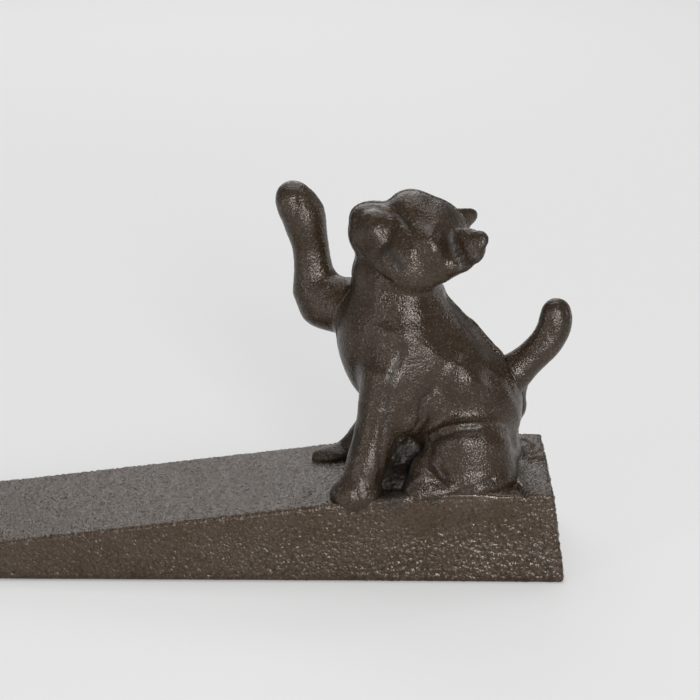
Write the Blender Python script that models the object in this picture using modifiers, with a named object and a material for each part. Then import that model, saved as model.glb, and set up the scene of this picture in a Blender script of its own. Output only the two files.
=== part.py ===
"""Cast iron doorstop: a hollow wedge with a cat, cast in two hollow halves, seated on its heel.

Units are metres and +Z is up. The toe points along -X and the heel along +X. The near side of the wedge is at
-Y. The origin is on the floor under the middle of the object.
"""

import math

import bmesh
import bpy
import numpy as np
from mathutils import Matrix, Vector

GAP = 0.0003  # between pieces that touch
BITE = 0.001  # how far a cutter runs past the face that it cuts

# The wedge
WEDGE_WIDTH = 0.045
PLATFORM_HEIGHT = 0.024
PLATFORM_LENGTH = 0.0349
RAMP_LENGTH = 0.1578
TOE_THICKNESS = 0.0045
HEEL_DRAFT = 0.0033
EDGE_ROUND = 0.0008
TOP_PLATE = 0.0048
SIDE_WALL = 0.0045
HEEL_WALL = 0.0055
TOE_BLOCK = 0.034  # solid length behind the toe
RIB_THICKNESS = 0.0035
RIB_FROM_HEEL = 0.102
RIB_RELIEF = 0.003  # the rib stops this far above the underside

# Grip pads
PAD_PROUD = 0.0004
PAD_RECESS = 0.001
PAD_EDGE = 0.0002  # the pads' broken edges
TOE_PAD_LENGTH = 0.011
TOE_PAD_WIDTH = 0.036
TOE_PAD_SETBACK = 0.004
HEEL_PAD_RADIUS = 0.0045
HEEL_POST_RADIUS = 0.0068
HEEL_POST_SETBACK = 0.0105
HEEL_POST_OFF_CENTRE = 0.0145

# The cat. Its forms are drawn in millimetres on a cat DRAWN_HEIGHT tall, from the point that it sits on.
CAT_HEIGHT = 0.076
DRAWN_HEIGHT = 76.0
SEAT_SETBACK = 0.027  # from the heel's lower edge to the point that the cat sits on
SKIN_VOXEL = 0.0012
SKIN_SHARE = 0.21  # share of the triangles kept
RELAX_ROUNDS = 3

# Screws and pins that hold it together
TIE_SCREW_RADIUS = 0.002
TIE_HEAD_RADIUS = 0.0038
TIE_HEAD_HEIGHT = 0.0022
CHEST_SCREW_LENGTH = 0.020
HAUNCH_SCREW_LENGTH = 0.025
CHEST_SCREW_SUNK = 0.0125  # from the parting plane to the top of the screw's head
HAUNCH_SCREW_SUNK = 0.0145
TIE_BOSS_RADIUS = 0.0046
BASE_SCREW_RADIUS = 0.002
BASE_SCREW_LENGTH = 0.020
FOOT_SCREW_RADIUS = 0.0015
FOOT_SCREW_LENGTH = 0.016
BASE_BOSS_RADIUS = 0.0068
BASE_BOSS_DEPTH = 0.0105  # from the top of the wedge to the washer's seat
WASHER_THICKNESS = 0.0008
WASHER_OVER_SCREW = 0.0025  # how much wider than the screw, in radius
HEAD_OVER_SCREW = 0.0019
HEAD_SHARE = 1.3  # a pan head's height for each part of the screw's radius
SLOT_WIDTH = 0.0009
SLOT_DEPTH = 0.0009
DOWEL_RADIUS = 0.0015
DOWEL_LENGTH = 0.010
ROUND_STEPS = 24

# Places on the cat in its drawn millimetres: (x, z) for what crosses the parting plane, (x, y) for the rest
CHEST_SCREW_AT = (-13.0, 34.0)
HAUNCH_SCREW_AT = (0.5, 21.5)
NECK_DOWEL_AT = (-14.5, 50.0)
RUMP_DOWEL_AT = (10.8, 8.5)
NEAR_SCREW_AT = (2.5, -10.0)
FAR_SCREW_AT = (2.5, 10.0)
FOOT_SCREW_AT = (-26.0, -16.2)

# Worked out from the sizes above
WEDGE_LENGTH = RAMP_LENGTH + PLATFORM_LENGTH + HEEL_DRAFT
RAMP_SLOPE = (PLATFORM_HEIGHT - TOE_THICKNESS) / RAMP_LENGTH
CAT_UNIT = CAT_HEIGHT / DRAWN_HEIGHT


class Egg:
    """A rounded mass: centre and half sizes, tilted about the Y axis by so many degrees."""

    def __init__(self, centre, half, tilt=0.0):
        self.centre, self.half, self.tilt = np.array(centre, float), np.array(half, float), tilt
        self.turn = np.array(Matrix.Rotation(math.radians(tilt), 3, "Y"))

    def distance(self, points):
        local = (points - self.centre) @ self.turn
        near = np.linalg.norm(local / self.half, axis=1)
        slope = np.linalg.norm(local / self.half**2, axis=1) + 1e-9
        return near * (near - 1) / slope

    def rough(self, bm, place):
        size = Matrix.Diagonal((*self.half, 1.0))
        turn = Matrix.Rotation(math.radians(self.tilt), 4, "Y")
        matrix = place @ Matrix.Translation(self.centre) @ turn @ size
        bmesh.ops.create_uvsphere(bm, u_segments=16, v_segments=10, radius=1.0, matrix=matrix)

    def mirrored(self):
        return Egg(self.centre * (1, -1, 1), self.half, self.tilt)


class Limb:
    """A tapering limb through stations (x, y, z, radius), flattened along an axis if one is given."""

    def __init__(self, stations, soft=4.0, flat_axis=None, flatten=1.0):
        self.stations, self.soft = np.array(stations, float), soft
        self.axis, self.flatten = flat_axis, flatten

    def squeezed(self, points):
        if self.axis is None:
            return points
        axis = np.array(self.axis) / np.linalg.norm(self.axis)
        height = (points - self.stations[0, :3]) @ axis
        return points + np.outer(height * (self.flatten - 1), axis)

    def distance(self, points):
        points = self.squeezed(points)
        found = None
        for start, end in zip(self.stations, self.stations[1:]):
            along = end[:3] - start[:3]
            length = np.linalg.norm(along)
            along = along / length
            # The side of a cone that touches both spheres leans by this sine.
            lean = np.clip((start[3] - end[3]) / length, -0.999, 0.999)
            rise = np.sqrt(1 - lean**2)
            offset = points - start[:3]
            up = offset @ along
            out = np.sqrt(np.maximum((offset**2).sum(axis=1) - up**2, 0))
            foot = np.clip(up + out * lean / rise, 0, length)
            reach = np.hypot(up - foot, out)
            one = reach - (start[3] + (end[3] - start[3]) * foot / length)
            found = one if found is None else soft_union(found, one, self.soft)
        return found / self.flatten**0.6

    def rough(self, bm, place):
        if self.axis is not None:
            anchor = Matrix.Translation(self.stations[0, :3])
            thin = Matrix.Scale(1 / self.flatten, 4, Vector(self.axis).normalized())
            place = place @ anchor @ thin @ anchor.inverted()
        for station in self.stations:
            matrix = place @ Matrix.Translation(station[:3])
            bmesh.ops.create_icosphere(bm, subdivisions=2, radius=station[3], matrix=matrix)
        for start, end in zip(self.stations, self.stations[1:]):
            along = Vector(end[:3] - start[:3])
            turn = along.to_track_quat("Z", "Y").to_matrix().to_4x4()
            matrix = place @ Matrix.Translation((start[:3] + end[:3]) / 2) @ turn
            bmesh.ops.create_cone(
                bm, cap_ends=True, segments=14, radius1=start[3], radius2=end[3],
                depth=along.length, matrix=matrix,
            )

    def mirrored(self):
        axis = None if self.axis is None else np.array(self.axis) * (1, -1, 1)
        return Limb(self.stations * (1, -1, 1, 1), self.soft, axis, self.flatten)


def soft_union(one, other, soft):
    """Joins two distances with a fillet about as wide as soft."""
    overlap = np.maximum(soft - np.abs(one - other), 0) / max(soft, 1e-6)
    return np.minimum(one, other) - overlap**2 * soft / 4


def soft_cut(body, cutter, soft):
    return -soft_union(-body, cutter, soft)


# Forms of the cat, each with the softness of its join to what comes before it
TORSO = [
    (Egg((-15.8, 0, 37.5), (15.6, 14.0, 15.0), -14), 0),  # shoulders
    (Limb([(-17.4, 0, 43, 12.2), (-16.8, 0, 53, 11.2)]), 4),  # neck
    (Egg((-9.5, 0, 28), (17.5, 15.0, 14.5), -38), 5),  # ribs
    (Egg((0.2, 0, 17.5), (16.8, 16.5, 17.0)), 5),  # rump
    (Egg((-19.4, 0, 30), (9.6, 9.5, 9.5), 18), 5),  # breast
]
CHEEK = Egg((-14.0, -8.8, 57.5), (8.6, 5.6, 6.6), 25)
CHEEKBONE = Egg((-7.5, -8.4, 63.5), (5.5, 5.5, 6.5), 10)
LIP = Egg((-21.0, -5.6, 65.6), (4.2, 3.4, 6.4), -25)
HEAD = [
    (Egg((-10.6, 0, 62.4), (12.6, 13.4, 11.8), -10), 0),  # skull
    (Egg((-12.2, 0, 68.6), (7.8, 8.6, 6.0)), 2.5),  # brow
    (Egg((-21.8, 0, 65.3), (6.9, 7.6, 7.2), 10), 3.5),  # muzzle
    (Egg((-25.0, 0, 69.6), (3.6, 4.2, 2.8), -10), 2),  # nose
    (Egg((-21.4, 0, 59.6), (7.0, 6.5, 3.6), 35), 2.5),  # jaw
    (CHEEK, 3),
    (CHEEK.mirrored(), 3),
    (CHEEKBONE, 2),
    (CHEEKBONE.mirrored(), 2),
    (LIP, 2),
    (LIP.mirrored(), 2),
]
EYE_SOCKET = Egg((-15.4, -15.9, 66.0), (3.6, 5.0, 8.0), 14)
EAR_LEAN = (-0.25, -1.0, 0.45)
EAR = Limb([(-2.7, -9.6, 62.4, 6.2), (0.5, -11.2, 63.8, 4.9), (3.5, -12.9, 64.9, 2.4)], 3, EAR_LEAN, 2.0)
EAR_CUP = Limb([(-0.9, -12.4, 63.8, 4.0), (2.4, -15.0, 65.4, 1.8)], 2, EAR_LEAN, 1.9)
HIND_QUARTERS = [
    (Egg((1.5, -12.6, 10.0), (12.2, 8.0, 10.2), 12), 1.6),  # near thigh
    (Egg((-2.5, 12.6, 9.5), (13.5, 8.0, 10.0), 10), 1.6),  # far thigh
    (Egg((2.0, 0, 4.5), (14.8, 18.5, 9.5)), 3),  # seat
    (Egg((-13.0, 3, 4), (11, 11, 13)), 2),  # belly between the legs
]
NEAR_HIND_LEG = [
    (Limb([(-6, -13, 7, 5.5), (-10.2, -17.0, 3.5, 4.4), (-11.8, -18.8, 0.3, 3.9)]), 1.5),
    (Limb([(-1.5, -18.2, 1.6, 3.4), (-8, -19.0, 1.0, 4.0), (-12.0, -19.2, 0.2, 3.9)], 2), 1.0),
    (Egg((-6.5, -20.0, -2.6), (12.5, 3.7, 6.2), -6), 2.0),  # fillet over the wedge's near edge
]
FAR_HIND_LEG = [
    (
        Limb([
            (-14, 13, 8, 6.5), (-22.5, 14, 5.5, 4.8), (-27, 14.5, 2.2, 3.8),
            (-33, 14.5, -0.7, 3.2), (-36.8, 14, -1.8, 2.8),
        ]),
        2,
    ),
]
NEAR_FORELEG = [
    (
        Limb([
            (-16.0, -8.5, 36, 9.0), (-19.4, -11.0, 28, 6.9), (-21.8, -12.6, 20, 5.2),
            (-23.0, -14.0, 12.5, 4.25), (-24.6, -15.8, 6, 4.1), (-26.6, -17.0, 1.4, 5.2),
            (-28.6, -17.7, -0.4, 4.9),
        ], 5),
        2.5,
    ),
    (Limb([(-9.5, -8.0, 33, 8.0), (-15, -11.0, 23, 5.2), (-19.5, -13, 14, 3.0)]), 2.5),  # elbow
]
RAISED_FORELEG = Limb([
    (-20, 6, 40, 9.0), (-27, 6.5, 42.4, 7.0), (-33.0, 8.5, 42.4, 6.1), (-36.4, 10, 43.0, 5.7),
    (-38.3, 10, 47.2, 5.2), (-38.8, 10, 53, 4.5), (-39.3, 10, 58.3, 4.2), (-41.0, 10, 63.2, 4.6),
    (-42.6, 10, 67.4, 5.0), (-43.8, 10, 71.2, 4.2),
])
TAIL = Limb([
    (8, 1.5, 19.5, 6.0), (11.5, 1.5, 22.4, 5.0), (15.3, 1.5, 25.4, 4.4), (19.9, 1.5, 29.6, 4.1),
    (23.3, 1.5, 34.2, 4.0), (24.8, 1.5, 38.5, 3.8), (25.5, 1.5, 41.6, 3.3), (25.8, 1.5, 42.3, 3.1),
])
BODY = TORSO + HIND_QUARTERS + NEAR_HIND_LEG + FAR_HIND_LEG + NEAR_FORELEG + [(RAISED_FORELEG, 2.5)]
POCKETS = [
    Egg((-16.2, 0, 38.5), (9.4, 10.0, 9.4)),  # in the chest
    Egg((-1.5, 0, 21.5), (9.4, 11.5, 8.8)),  # in the rump
    Egg((-10.8, 0, 62.4), (8.2, 8.8, 7.6)),  # in the head
]

# The frame's origin is under the middle of the whole length, and the tail reaches out behind the heel.
# The blend between two stations swells a limb by a quarter of its softness.
TAIL_REACH = float((TAIL.stations[:, 0] + TAIL.stations[:, 3]).max()) + TAIL.soft / 4
TAIL_OVERHANG = max(TAIL_REACH * CAT_UNIT - SEAT_SETBACK, 0.0)
HEEL_X = (WEDGE_LENGTH - TAIL_OVERHANG) / 2
TOE_X = HEEL_X - WEDGE_LENGTH
BREAK_X = TOE_X + RAMP_LENGTH
WEDGE_TOP = PAD_PROUD + PLATFORM_HEIGHT
SEAT = Vector((HEEL_X - SEAT_SETBACK, 0.0, WEDGE_TOP))
CAT_PLACE = Matrix.Translation(SEAT) @ Matrix.Scale(CAT_UNIT, 4)


def surface_of(forms, points):
    """Distance from each point to the blended surface of the forms."""
    found = forms[0][0].distance(points)
    for form, soft in forms[1:]:
        found = soft_union(found, form.distance(points), soft)
    return found


def cat_surface(points):
    head = surface_of(HEAD, points)
    for socket in (EYE_SOCKET, EYE_SOCKET.mirrored()):
        head = soft_cut(head, socket.distance(points), 3.5)
    found = soft_union(surface_of(BODY, points), head, 2.0)
    for side in (lambda form: form, lambda form: form.mirrored()):
        ear = soft_cut(side(EAR).distance(points), side(EAR_CUP).distance(points), 1.0)
        found = soft_union(found, ear, 1.2)
    return found


def ramp_top(x):
    """Height of the wedge's upper face at x."""
    return WEDGE_TOP - max(BREAK_X - x, 0.0) * RAMP_SLOPE


def new_collection(name):
    found = bpy.data.collections.new(name)
    bpy.context.scene.collection.children.link(found)
    return found


def new_material(name, colour, roughness, metallic):
    made = bpy.data.materials.new(name)
    made.use_nodes = True
    made.diffuse_color = colour
    shader = made.node_tree.nodes["Principled BSDF"]
    shader.inputs["Base Color"].default_value = colour
    shader.inputs["Roughness"].default_value = roughness
    shader.inputs["Metallic"].default_value = metallic
    return made


def object_from(bm, name, home, material=None):
    mesh = bpy.data.meshes.new(name)
    bm.to_mesh(mesh)
    bm.free()
    made = bpy.data.objects.new(name, mesh)
    home.objects.link(made)
    if home is CUTTERS:
        made.hide_render = True
        made.display_type = "WIRE"
    if material:
        mesh.materials.append(material)
    return made


def bake(obj):
    """Turns an object's modifiers into mesh."""
    graph = bpy.context.evaluated_depsgraph_get()
    mesh = bpy.data.meshes.new_from_object(obj.evaluated_get(graph))
    obj.modifiers.clear()
    obj.data = mesh


def smooth(obj, angle=40.0):
    obj.data.shade_smooth()
    obj.data.set_sharp_from_angle(angle=math.radians(angle))


def boolean(obj, cutter, operation="DIFFERENCE", solver="EXACT"):
    modifier = obj.modifiers.new(cutter.name, "BOOLEAN")
    modifier.operation = operation
    modifier.solver = solver
    modifier.object = cutter


def bevel(obj, width, segments=2, angle=30.0):
    modifier = obj.modifiers.new("Rounded edges", "BEVEL")
    modifier.width = width
    modifier.segments = segments
    modifier.limit_method = "ANGLE"
    modifier.angle_limit = math.radians(angle)


def box(name, low, high, home, material=None):
    low, high = Vector(low), Vector(high)
    bm = bmesh.new()
    size = Matrix.Diagonal((*(high - low), 1.0))
    bmesh.ops.create_cube(bm, size=1.0, matrix=Matrix.Translation((low + high) / 2) @ size)
    return object_from(bm, name, home, material)


def cylinder(name, start, end, radius, home, steps=ROUND_STEPS):
    start, end = Vector(start), Vector(end)
    bm = bmesh.new()
    turn = (end - start).to_track_quat("Z", "Y").to_matrix().to_4x4()
    bmesh.ops.create_cone(
        bm, cap_ends=True, segments=steps, radius1=radius, radius2=radius,
        depth=(end - start).length, matrix=Matrix.Translation((start + end) / 2) @ turn,
    )
    return object_from(bm, name, home)


def side_plate(name, outline, low_y, high_y, home, material=None):
    """A prism whose outline is given in X and Z, between two values of Y."""
    curve = bpy.data.curves.new(name, "CURVE")
    curve.dimensions = "2D"
    curve.fill_mode = "BOTH"
    curve.extrude = (high_y - low_y) / 2
    spline = curve.splines.new("POLY")
    spline.points.add(len(outline) - 1)
    for point, (x, z) in zip(spline.points, outline):
        point.co = (x, z, 0.0, 1.0)
    spline.use_cyclic_u = True
    drawn = bpy.data.objects.new(name + "_outline", curve)
    bpy.context.scene.collection.objects.link(drawn)
    drawn.rotation_euler = (math.pi / 2, 0.0, 0.0)
    drawn.location = (0.0, (low_y + high_y) / 2, 0.0)
    bpy.context.view_layer.update()
    bm = bmesh.new()
    bm.from_mesh(bpy.data.meshes.new_from_object(drawn))
    bmesh.ops.transform(bm, matrix=drawn.matrix_world, verts=bm.verts)
    bmesh.ops.remove_doubles(bm, verts=bm.verts, dist=1e-6)
    bmesh.ops.recalc_face_normals(bm, faces=bm.faces)
    bpy.data.objects.remove(drawn)
    return object_from(bm, name, home, material)


def turned(name, profile, base, axis, home, material=None, steps=ROUND_STEPS):
    """A turned piece: its profile (radius, height) runs from the top down, and stands on base along axis."""
    bm = bmesh.new()
    points = [bm.verts.new((radius, 0.0, height)) for radius, height in profile]
    for one, other in zip(points, points[1:]):
        bm.edges.new((one, other))
    made = object_from(bm, name, home, material)
    screw = made.modifiers.new("Turned", "SCREW")
    screw.steps = screw.render_steps = steps
    screw.use_merge_vertices = True
    screw.merge_threshold = 1e-6
    bake(made)
    turn = Vector(axis).to_track_quat("Z", "Y").to_matrix().to_4x4()
    made.data.transform(Matrix.Translation(base) @ turn)
    smooth(made)
    return made


def pan_screw(name, seat, length, radius, material):
    """A slotted pan-head screw from below: its head's flat side is at seat, and it points up."""
    head = radius + HEAD_OVER_SCREW
    height = radius * HEAD_SHARE
    crown = [(0.0, height), (head * 0.7, height * 0.92), (head, height * 0.45), (head, 0.0)]
    tip = [(radius, 0.0), (radius, -length + radius * 0.4), (radius * 0.6, -length), (0.0, -length)]
    made = turned(name, crown + tip, seat, (0, 0, -1), PARTS, material)
    slot_low = seat[2] - height - BITE
    slot = box(
        name + "_slot", (seat[0] - head * 2, seat[1] - SLOT_WIDTH / 2, slot_low),
        (seat[0] + head * 2, seat[1] + SLOT_WIDTH / 2, seat[2] - height + SLOT_DEPTH), CUTTERS,
    )
    boolean(made, slot)
    return made


def countersunk_screw(name, top, length, material):
    """A slotted countersunk screw whose head's top is at top, driven along -Y."""
    neck = -TIE_HEAD_HEIGHT
    profile = [
        (0.0, 0.0), (TIE_HEAD_RADIUS, 0.0), (TIE_SCREW_RADIUS, neck),
        (TIE_SCREW_RADIUS, -length + TIE_SCREW_RADIUS * 0.4),
        (TIE_SCREW_RADIUS * 0.6, -length), (0.0, -length),
    ]
    made = turned(name, profile, top, (0, 1, 0), PARTS, material)
    slot = box(
        name + "_slot", (top[0] - SLOT_WIDTH / 2, top[1] - SLOT_DEPTH, top[2] - TIE_HEAD_RADIUS * 2),
        (top[0] + SLOT_WIDTH / 2, top[1] + BITE, top[2] + TIE_HEAD_RADIUS * 2), CUTTERS,
    )
    boolean(made, slot)
    return made


def washer(name, seat, screw_radius, material):
    """A flat washer whose upper face is at seat."""
    outer, inner = screw_radius + WASHER_OVER_SCREW, screw_radius + GAP
    low = -WASHER_THICKNESS
    profile = [(outer, 0.0), (outer, low), (inner, low), (inner, 0.0), (outer, 0.0)]
    return turned(name, profile, seat, (0, 0, 1), PARTS, material)


def on_cat(x, y, z):
    """A place on the cat, given in its drawn millimetres."""
    return CAT_PLACE @ Vector((x, y, z))


def skin(name, rough_forms, surface, home, material=None, share=SKIN_SHARE):
    """A mesh over rough forms, relaxed on to their blended surface."""
    bm = bmesh.new()
    for form in rough_forms:
        form.rough(bm, CAT_PLACE)
    made = object_from(bm, name, home, material)
    remesh = made.modifiers.new("Skin", "REMESH")
    remesh.mode = "VOXEL"
    remesh.voxel_size = SKIN_VOXEL
    bake(made)
    bm = bmesh.new()
    bm.from_mesh(made.data)
    for _ in range(RELAX_ROUNDS):
        bmesh.ops.smooth_vert(
            bm, verts=bm.verts, factor=0.5, use_axis_x=True, use_axis_y=True, use_axis_z=True,
        )
        settle(bm, surface)
    settle(bm, surface)
    bm.to_mesh(made.data)
    bm.free()
    fewer = made.modifiers.new("Fewer faces", "DECIMATE")
    fewer.ratio = share
    fewer.use_collapse_triangulate = True
    bake(made)
    return made


def settle(bm, surface):
    """Moves each vertex on to the surface, down the slope of its distance."""
    to_drawn = np.array(CAT_PLACE.inverted())
    points = np.array([vert.co for vert in bm.verts]) @ to_drawn[:3, :3].T + to_drawn[:3, 3]
    step = 0.1
    here = surface(points)
    slope = np.stack([(surface(points + axis * step) - here) / step for axis in np.eye(3)], axis=1)
    length = np.maximum((slope**2).sum(axis=1), 0.25)
    points = points - slope * (np.clip(here, -2, 2) / length)[:, None]
    to_world = np.array(CAT_PLACE)
    for vert, co in zip(bm.verts, points @ to_world[:3, :3].T + to_world[:3, 3]):
        vert.co = co


def parting_block(name, side):
    """A block that holds everything on one side of the parting plane, side -1 for near and 1 for far."""
    far_y, near_y = side * WEDGE_WIDTH * 2, side * -GAP / 2
    low, high = sorted((far_y, near_y))
    top = SEAT.z + CAT_HEIGHT * 1.5
    return box(name, (TOE_X, low, -BITE), (HEEL_X + CAT_HEIGHT, high, top), CUTTERS)


def wedge_outline(grow):
    """The wedge's side view, moved outwards by grow."""
    low = PAD_PROUD - grow
    heel_run = HEEL_DRAFT / PLATFORM_HEIGHT
    return [
        (TOE_X - grow, low),
        (HEEL_X + grow, low),
        (HEEL_X + grow - heel_run * (PLATFORM_HEIGHT + 2 * grow), WEDGE_TOP + grow),
        (BREAK_X, WEDGE_TOP + grow),
        (TOE_X - grow, PAD_PROUD + TOE_THICKNESS + grow - grow * RAMP_SLOPE),
    ]


def base_screw_places():
    """For each screw from below: its name, its foot on the wedge's top, and its radius and length."""
    return [
        ("near_base", on_cat(*NEAR_SCREW_AT, 0), BASE_SCREW_RADIUS, BASE_SCREW_LENGTH),
        ("far_base", on_cat(*FAR_SCREW_AT, 0), BASE_SCREW_RADIUS, BASE_SCREW_LENGTH),
        ("foot_base", on_cat(*FOOT_SCREW_AT, 0), FOOT_SCREW_RADIUS, FOOT_SCREW_LENGTH),
    ]


def washer_seat(place):
    return Vector((place.x, place.y, ramp_top(place.x) - BASE_BOSS_DEPTH))


def heel_post_places():
    x = HEEL_X - HEEL_POST_SETBACK
    return [("near", Vector((x, -HEEL_POST_OFF_CENTRE, 0))), ("far", Vector((x, HEEL_POST_OFF_CENTRE, 0)))]


def make_wedge(material):
    half = WEDGE_WIDTH / 2
    wedge = side_plate("wedge_casting", wedge_outline(0.0), -half, half, PARTS, material)
    bevel(wedge, EDGE_ROUND)

    toe_end, heel_end = TOE_X + TOE_BLOCK, HEEL_X - HEEL_DRAFT - HEEL_WALL
    roof = [(x, ramp_top(x) - TOP_PLATE) for x in (heel_end, BREAK_X, toe_end)]
    inside = [(toe_end, -BITE), (heel_end, -BITE)] + roof
    pocket = side_plate("underside_pocket", inside, -half + SIDE_WALL, half - SIDE_WALL, CUTTERS)
    for name, place, _, _ in base_screw_places():
        seat = washer_seat(place)
        # The foot's screw stands against the side wall, so its boss goes down to a counterbored post.
        low = PAD_PROUD + RIB_RELIEF if name == "foot_base" else seat.z
        top = Vector((seat.x, seat.y, WEDGE_TOP))
        boss = cylinder(name + "_boss", (seat.x, seat.y, low), top, BASE_BOSS_RADIUS, CUTTERS)
        boolean(pocket, boss)
    for side, place in heel_post_places():
        foot, top = Vector((place.x, place.y, -2 * BITE)), Vector((place.x, place.y, WEDGE_TOP))
        post = cylinder(side + "_post", foot, top, HEEL_POST_RADIUS, CUTTERS)
        boolean(pocket, post)
    rib_x = HEEL_X - RIB_FROM_HEEL
    rib = box("rib", (rib_x - RIB_THICKNESS / 2, -half, PAD_PROUD + RIB_RELIEF),
              (rib_x + RIB_THICKNESS / 2, half, WEDGE_TOP), CUTTERS)
    boolean(pocket, rib)
    boolean(wedge, pocket)

    for name, place, radius, _ in base_screw_places():
        seat = washer_seat(place)
        hole = cylinder(name + "_hole", (place.x, place.y, -BITE), (place.x, place.y, WEDGE_TOP + BITE),
                        radius + GAP, CUTTERS)
        boolean(wedge, hole)
        if name == "foot_base":
            bore = radius + WASHER_OVER_SCREW + GAP
            counterbore = cylinder(name + "_counterbore", (seat.x, seat.y, -BITE), seat, bore, CUTTERS)
            boolean(wedge, counterbore)
    for side, place in heel_post_places():
        foot, top = Vector((place.x, place.y, -BITE)), Vector((place.x, place.y, PAD_PROUD + PAD_RECESS))
        recess = cylinder(side + "_pad_recess", foot, top, HEEL_PAD_RADIUS + GAP, CUTTERS)
        boolean(wedge, recess)
    low, high = toe_pad_corners(GAP)
    boolean(wedge, box("toe_pad_recess", (*low, -BITE), (*high, PAD_PROUD + PAD_RECESS), CUTTERS))
    smooth(wedge)


def toe_pad_corners(grow):
    x = TOE_X + TOE_PAD_SETBACK
    width = TOE_PAD_WIDTH / 2
    return (x - grow, -width - grow), (x + TOE_PAD_LENGTH + grow, width + grow)


def make_pads(material):
    thickness = PAD_PROUD + PAD_RECESS - GAP
    low, high = toe_pad_corners(0.0)
    toe = box("toe_pad", (*low, 0.0), (*high, thickness), PARTS, material)
    bevel(toe, PAD_EDGE, segments=1)
    for side, place in heel_post_places():
        edge = HEEL_PAD_RADIUS
        profile = [
            (0.0, thickness), (edge - PAD_EDGE, thickness), (edge, thickness - PAD_EDGE),
            (edge, PAD_EDGE), (edge - PAD_EDGE, 0.0), (0.0, 0.0),
        ]
        turned("heel_pad_" + side, profile, place, (0, 0, 1), PARTS, material)


def tie_screw_places():
    """For each screw through the parting plane: its name, the top of its head, its length."""
    chest = on_cat(CHEST_SCREW_AT[0], 0, CHEST_SCREW_AT[1])
    haunch = on_cat(HAUNCH_SCREW_AT[0], 0, HAUNCH_SCREW_AT[1])
    return [
        ("chest_tie_screw", chest + Vector((0, CHEST_SCREW_SUNK, 0)), CHEST_SCREW_LENGTH),
        ("haunch_tie_screw", haunch + Vector((0, HAUNCH_SCREW_SUNK, 0)), HAUNCH_SCREW_LENGTH),
    ]


def dowel_places():
    return [
        ("neck_dowel", on_cat(NECK_DOWEL_AT[0], 0, NECK_DOWEL_AT[1])),
        ("rump_dowel", on_cat(RUMP_DOWEL_AT[0], 0, RUMP_DOWEL_AT[1])),
    ]


def make_core():
    """What the sand cores leave empty inside the cat: its pockets, less the bosses that cross them."""
    cores = []
    for index, pocket in enumerate(POCKETS):
        bm = bmesh.new()
        pocket.rough(bm, CAT_PLACE)
        core = object_from(bm, "core_%d" % index, CUTTERS)
        for name, top, _ in tie_screw_places():
            near, far = Vector((top.x, -WEDGE_WIDTH, top.z)), Vector((top.x, WEDGE_WIDTH, top.z))
            boss = cylinder("%s_boss_%d" % (name, index), near, far, TIE_BOSS_RADIUS, CUTTERS)
            boolean(core, boss)
        bake(core)
        cores.append(core)
    return cores


def drill_cat(half):
    """Cuts what both halves share: the cores, the seat on the wedge, and the holes for screws and pins."""
    for name, top, length in tie_screw_places():
        start, end = top + Vector((0, BITE, 0)), top - Vector((0, length + BITE, 0))
        shank = cylinder(half.name + name, start, end, TIE_SCREW_RADIUS + GAP, CUTTERS)
        boolean(half, shank, solver="MANIFOLD")
    for name, place in dowel_places():
        reach = Vector((0, DOWEL_LENGTH / 2 + GAP, 0))
        hole = cylinder(half.name + name, place - reach, place + reach, DOWEL_RADIUS + GAP, CUTTERS)
        boolean(half, hole, solver="MANIFOLD")
    for name, place, radius, length in base_screw_places():
        tip = washer_seat(place) + Vector((0, 0, length - WASHER_THICKNESS))
        hole = cylinder(half.name + name, (place.x, place.y, 0), tip, radius + GAP, CUTTERS)
        boolean(half, hole, solver="MANIFOLD")


def make_cat(material):
    forms = [form for form, _ in BODY + HEAD] + [EAR, EAR.mirrored()]
    near = skin("cat_near_half", forms, cat_surface, PARTS, material)
    far = near.copy()
    far.data = near.data.copy()
    far.name = "cat_far_half"
    PARTS.objects.link(far)

    def tail_surface(points):
        return TAIL.distance(points)

    def tail_groove_surface(points):
        return TAIL.distance(points) - GAP / CAT_UNIT

    tail = skin("tail", [TAIL], tail_surface, CUTTERS)
    groove = skin("tail_groove", [TAIL], tail_groove_surface, CUTTERS)
    boolean(near, parting_block("far_block", 1))
    boolean(near, groove)
    boolean(far, parting_block("near_block", -1))
    boolean(far, tail, "UNION")
    half = WEDGE_WIDTH / 2 + GAP
    seat_cut = side_plate("seat_cut", wedge_outline(GAP), -half, half, CUTTERS)
    cores = make_core()
    for piece in (near, far):
        boolean(piece, seat_cut)
        for core in cores:
            boolean(piece, core, solver="MANIFOLD")
        drill_cat(piece)
    for name, top, _ in tie_screw_places():
        cone = [
            (0.0, WEDGE_WIDTH), (TIE_HEAD_RADIUS + GAP, WEDGE_WIDTH), (TIE_HEAD_RADIUS + GAP, GAP),
            (TIE_SCREW_RADIUS, -TIE_HEAD_HEIGHT - GAP), (0.0, -TIE_HEAD_HEIGHT - GAP),
        ]
        boolean(far, turned(name + "_countersink", cone, top, (0, 1, 0), CUTTERS), solver="MANIFOLD")
    smooth(near)
    smooth(far)


def make_fasteners(steel):
    for name, top, length in tie_screw_places():
        countersunk_screw(name, top, length, steel)
    for name, place in dowel_places():
        half, chamfer = DOWEL_LENGTH / 2, DOWEL_RADIUS * 0.3
        profile = [
            (0.0, half), (DOWEL_RADIUS - chamfer, half), (DOWEL_RADIUS, half - chamfer),
            (DOWEL_RADIUS, chamfer - half), (DOWEL_RADIUS - chamfer, -half), (0.0, -half),
        ]
        turned(name, profile, place, (0, 1, 0), PARTS, steel)
    for name, place, radius, length in base_screw_places():
        seat = washer_seat(place) - Vector((0, 0, GAP))
        washer(name + "_washer", seat, radius, steel)
        under = seat - Vector((0, 0, WASHER_THICKNESS + GAP))
        pan_screw(name + "_screw", under, length, radius, steel)


for old in list(bpy.data.objects):
    bpy.data.objects.remove(old)
PARTS = new_collection("cat_wedge_doorstop")
CUTTERS = new_collection("cutters")

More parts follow.
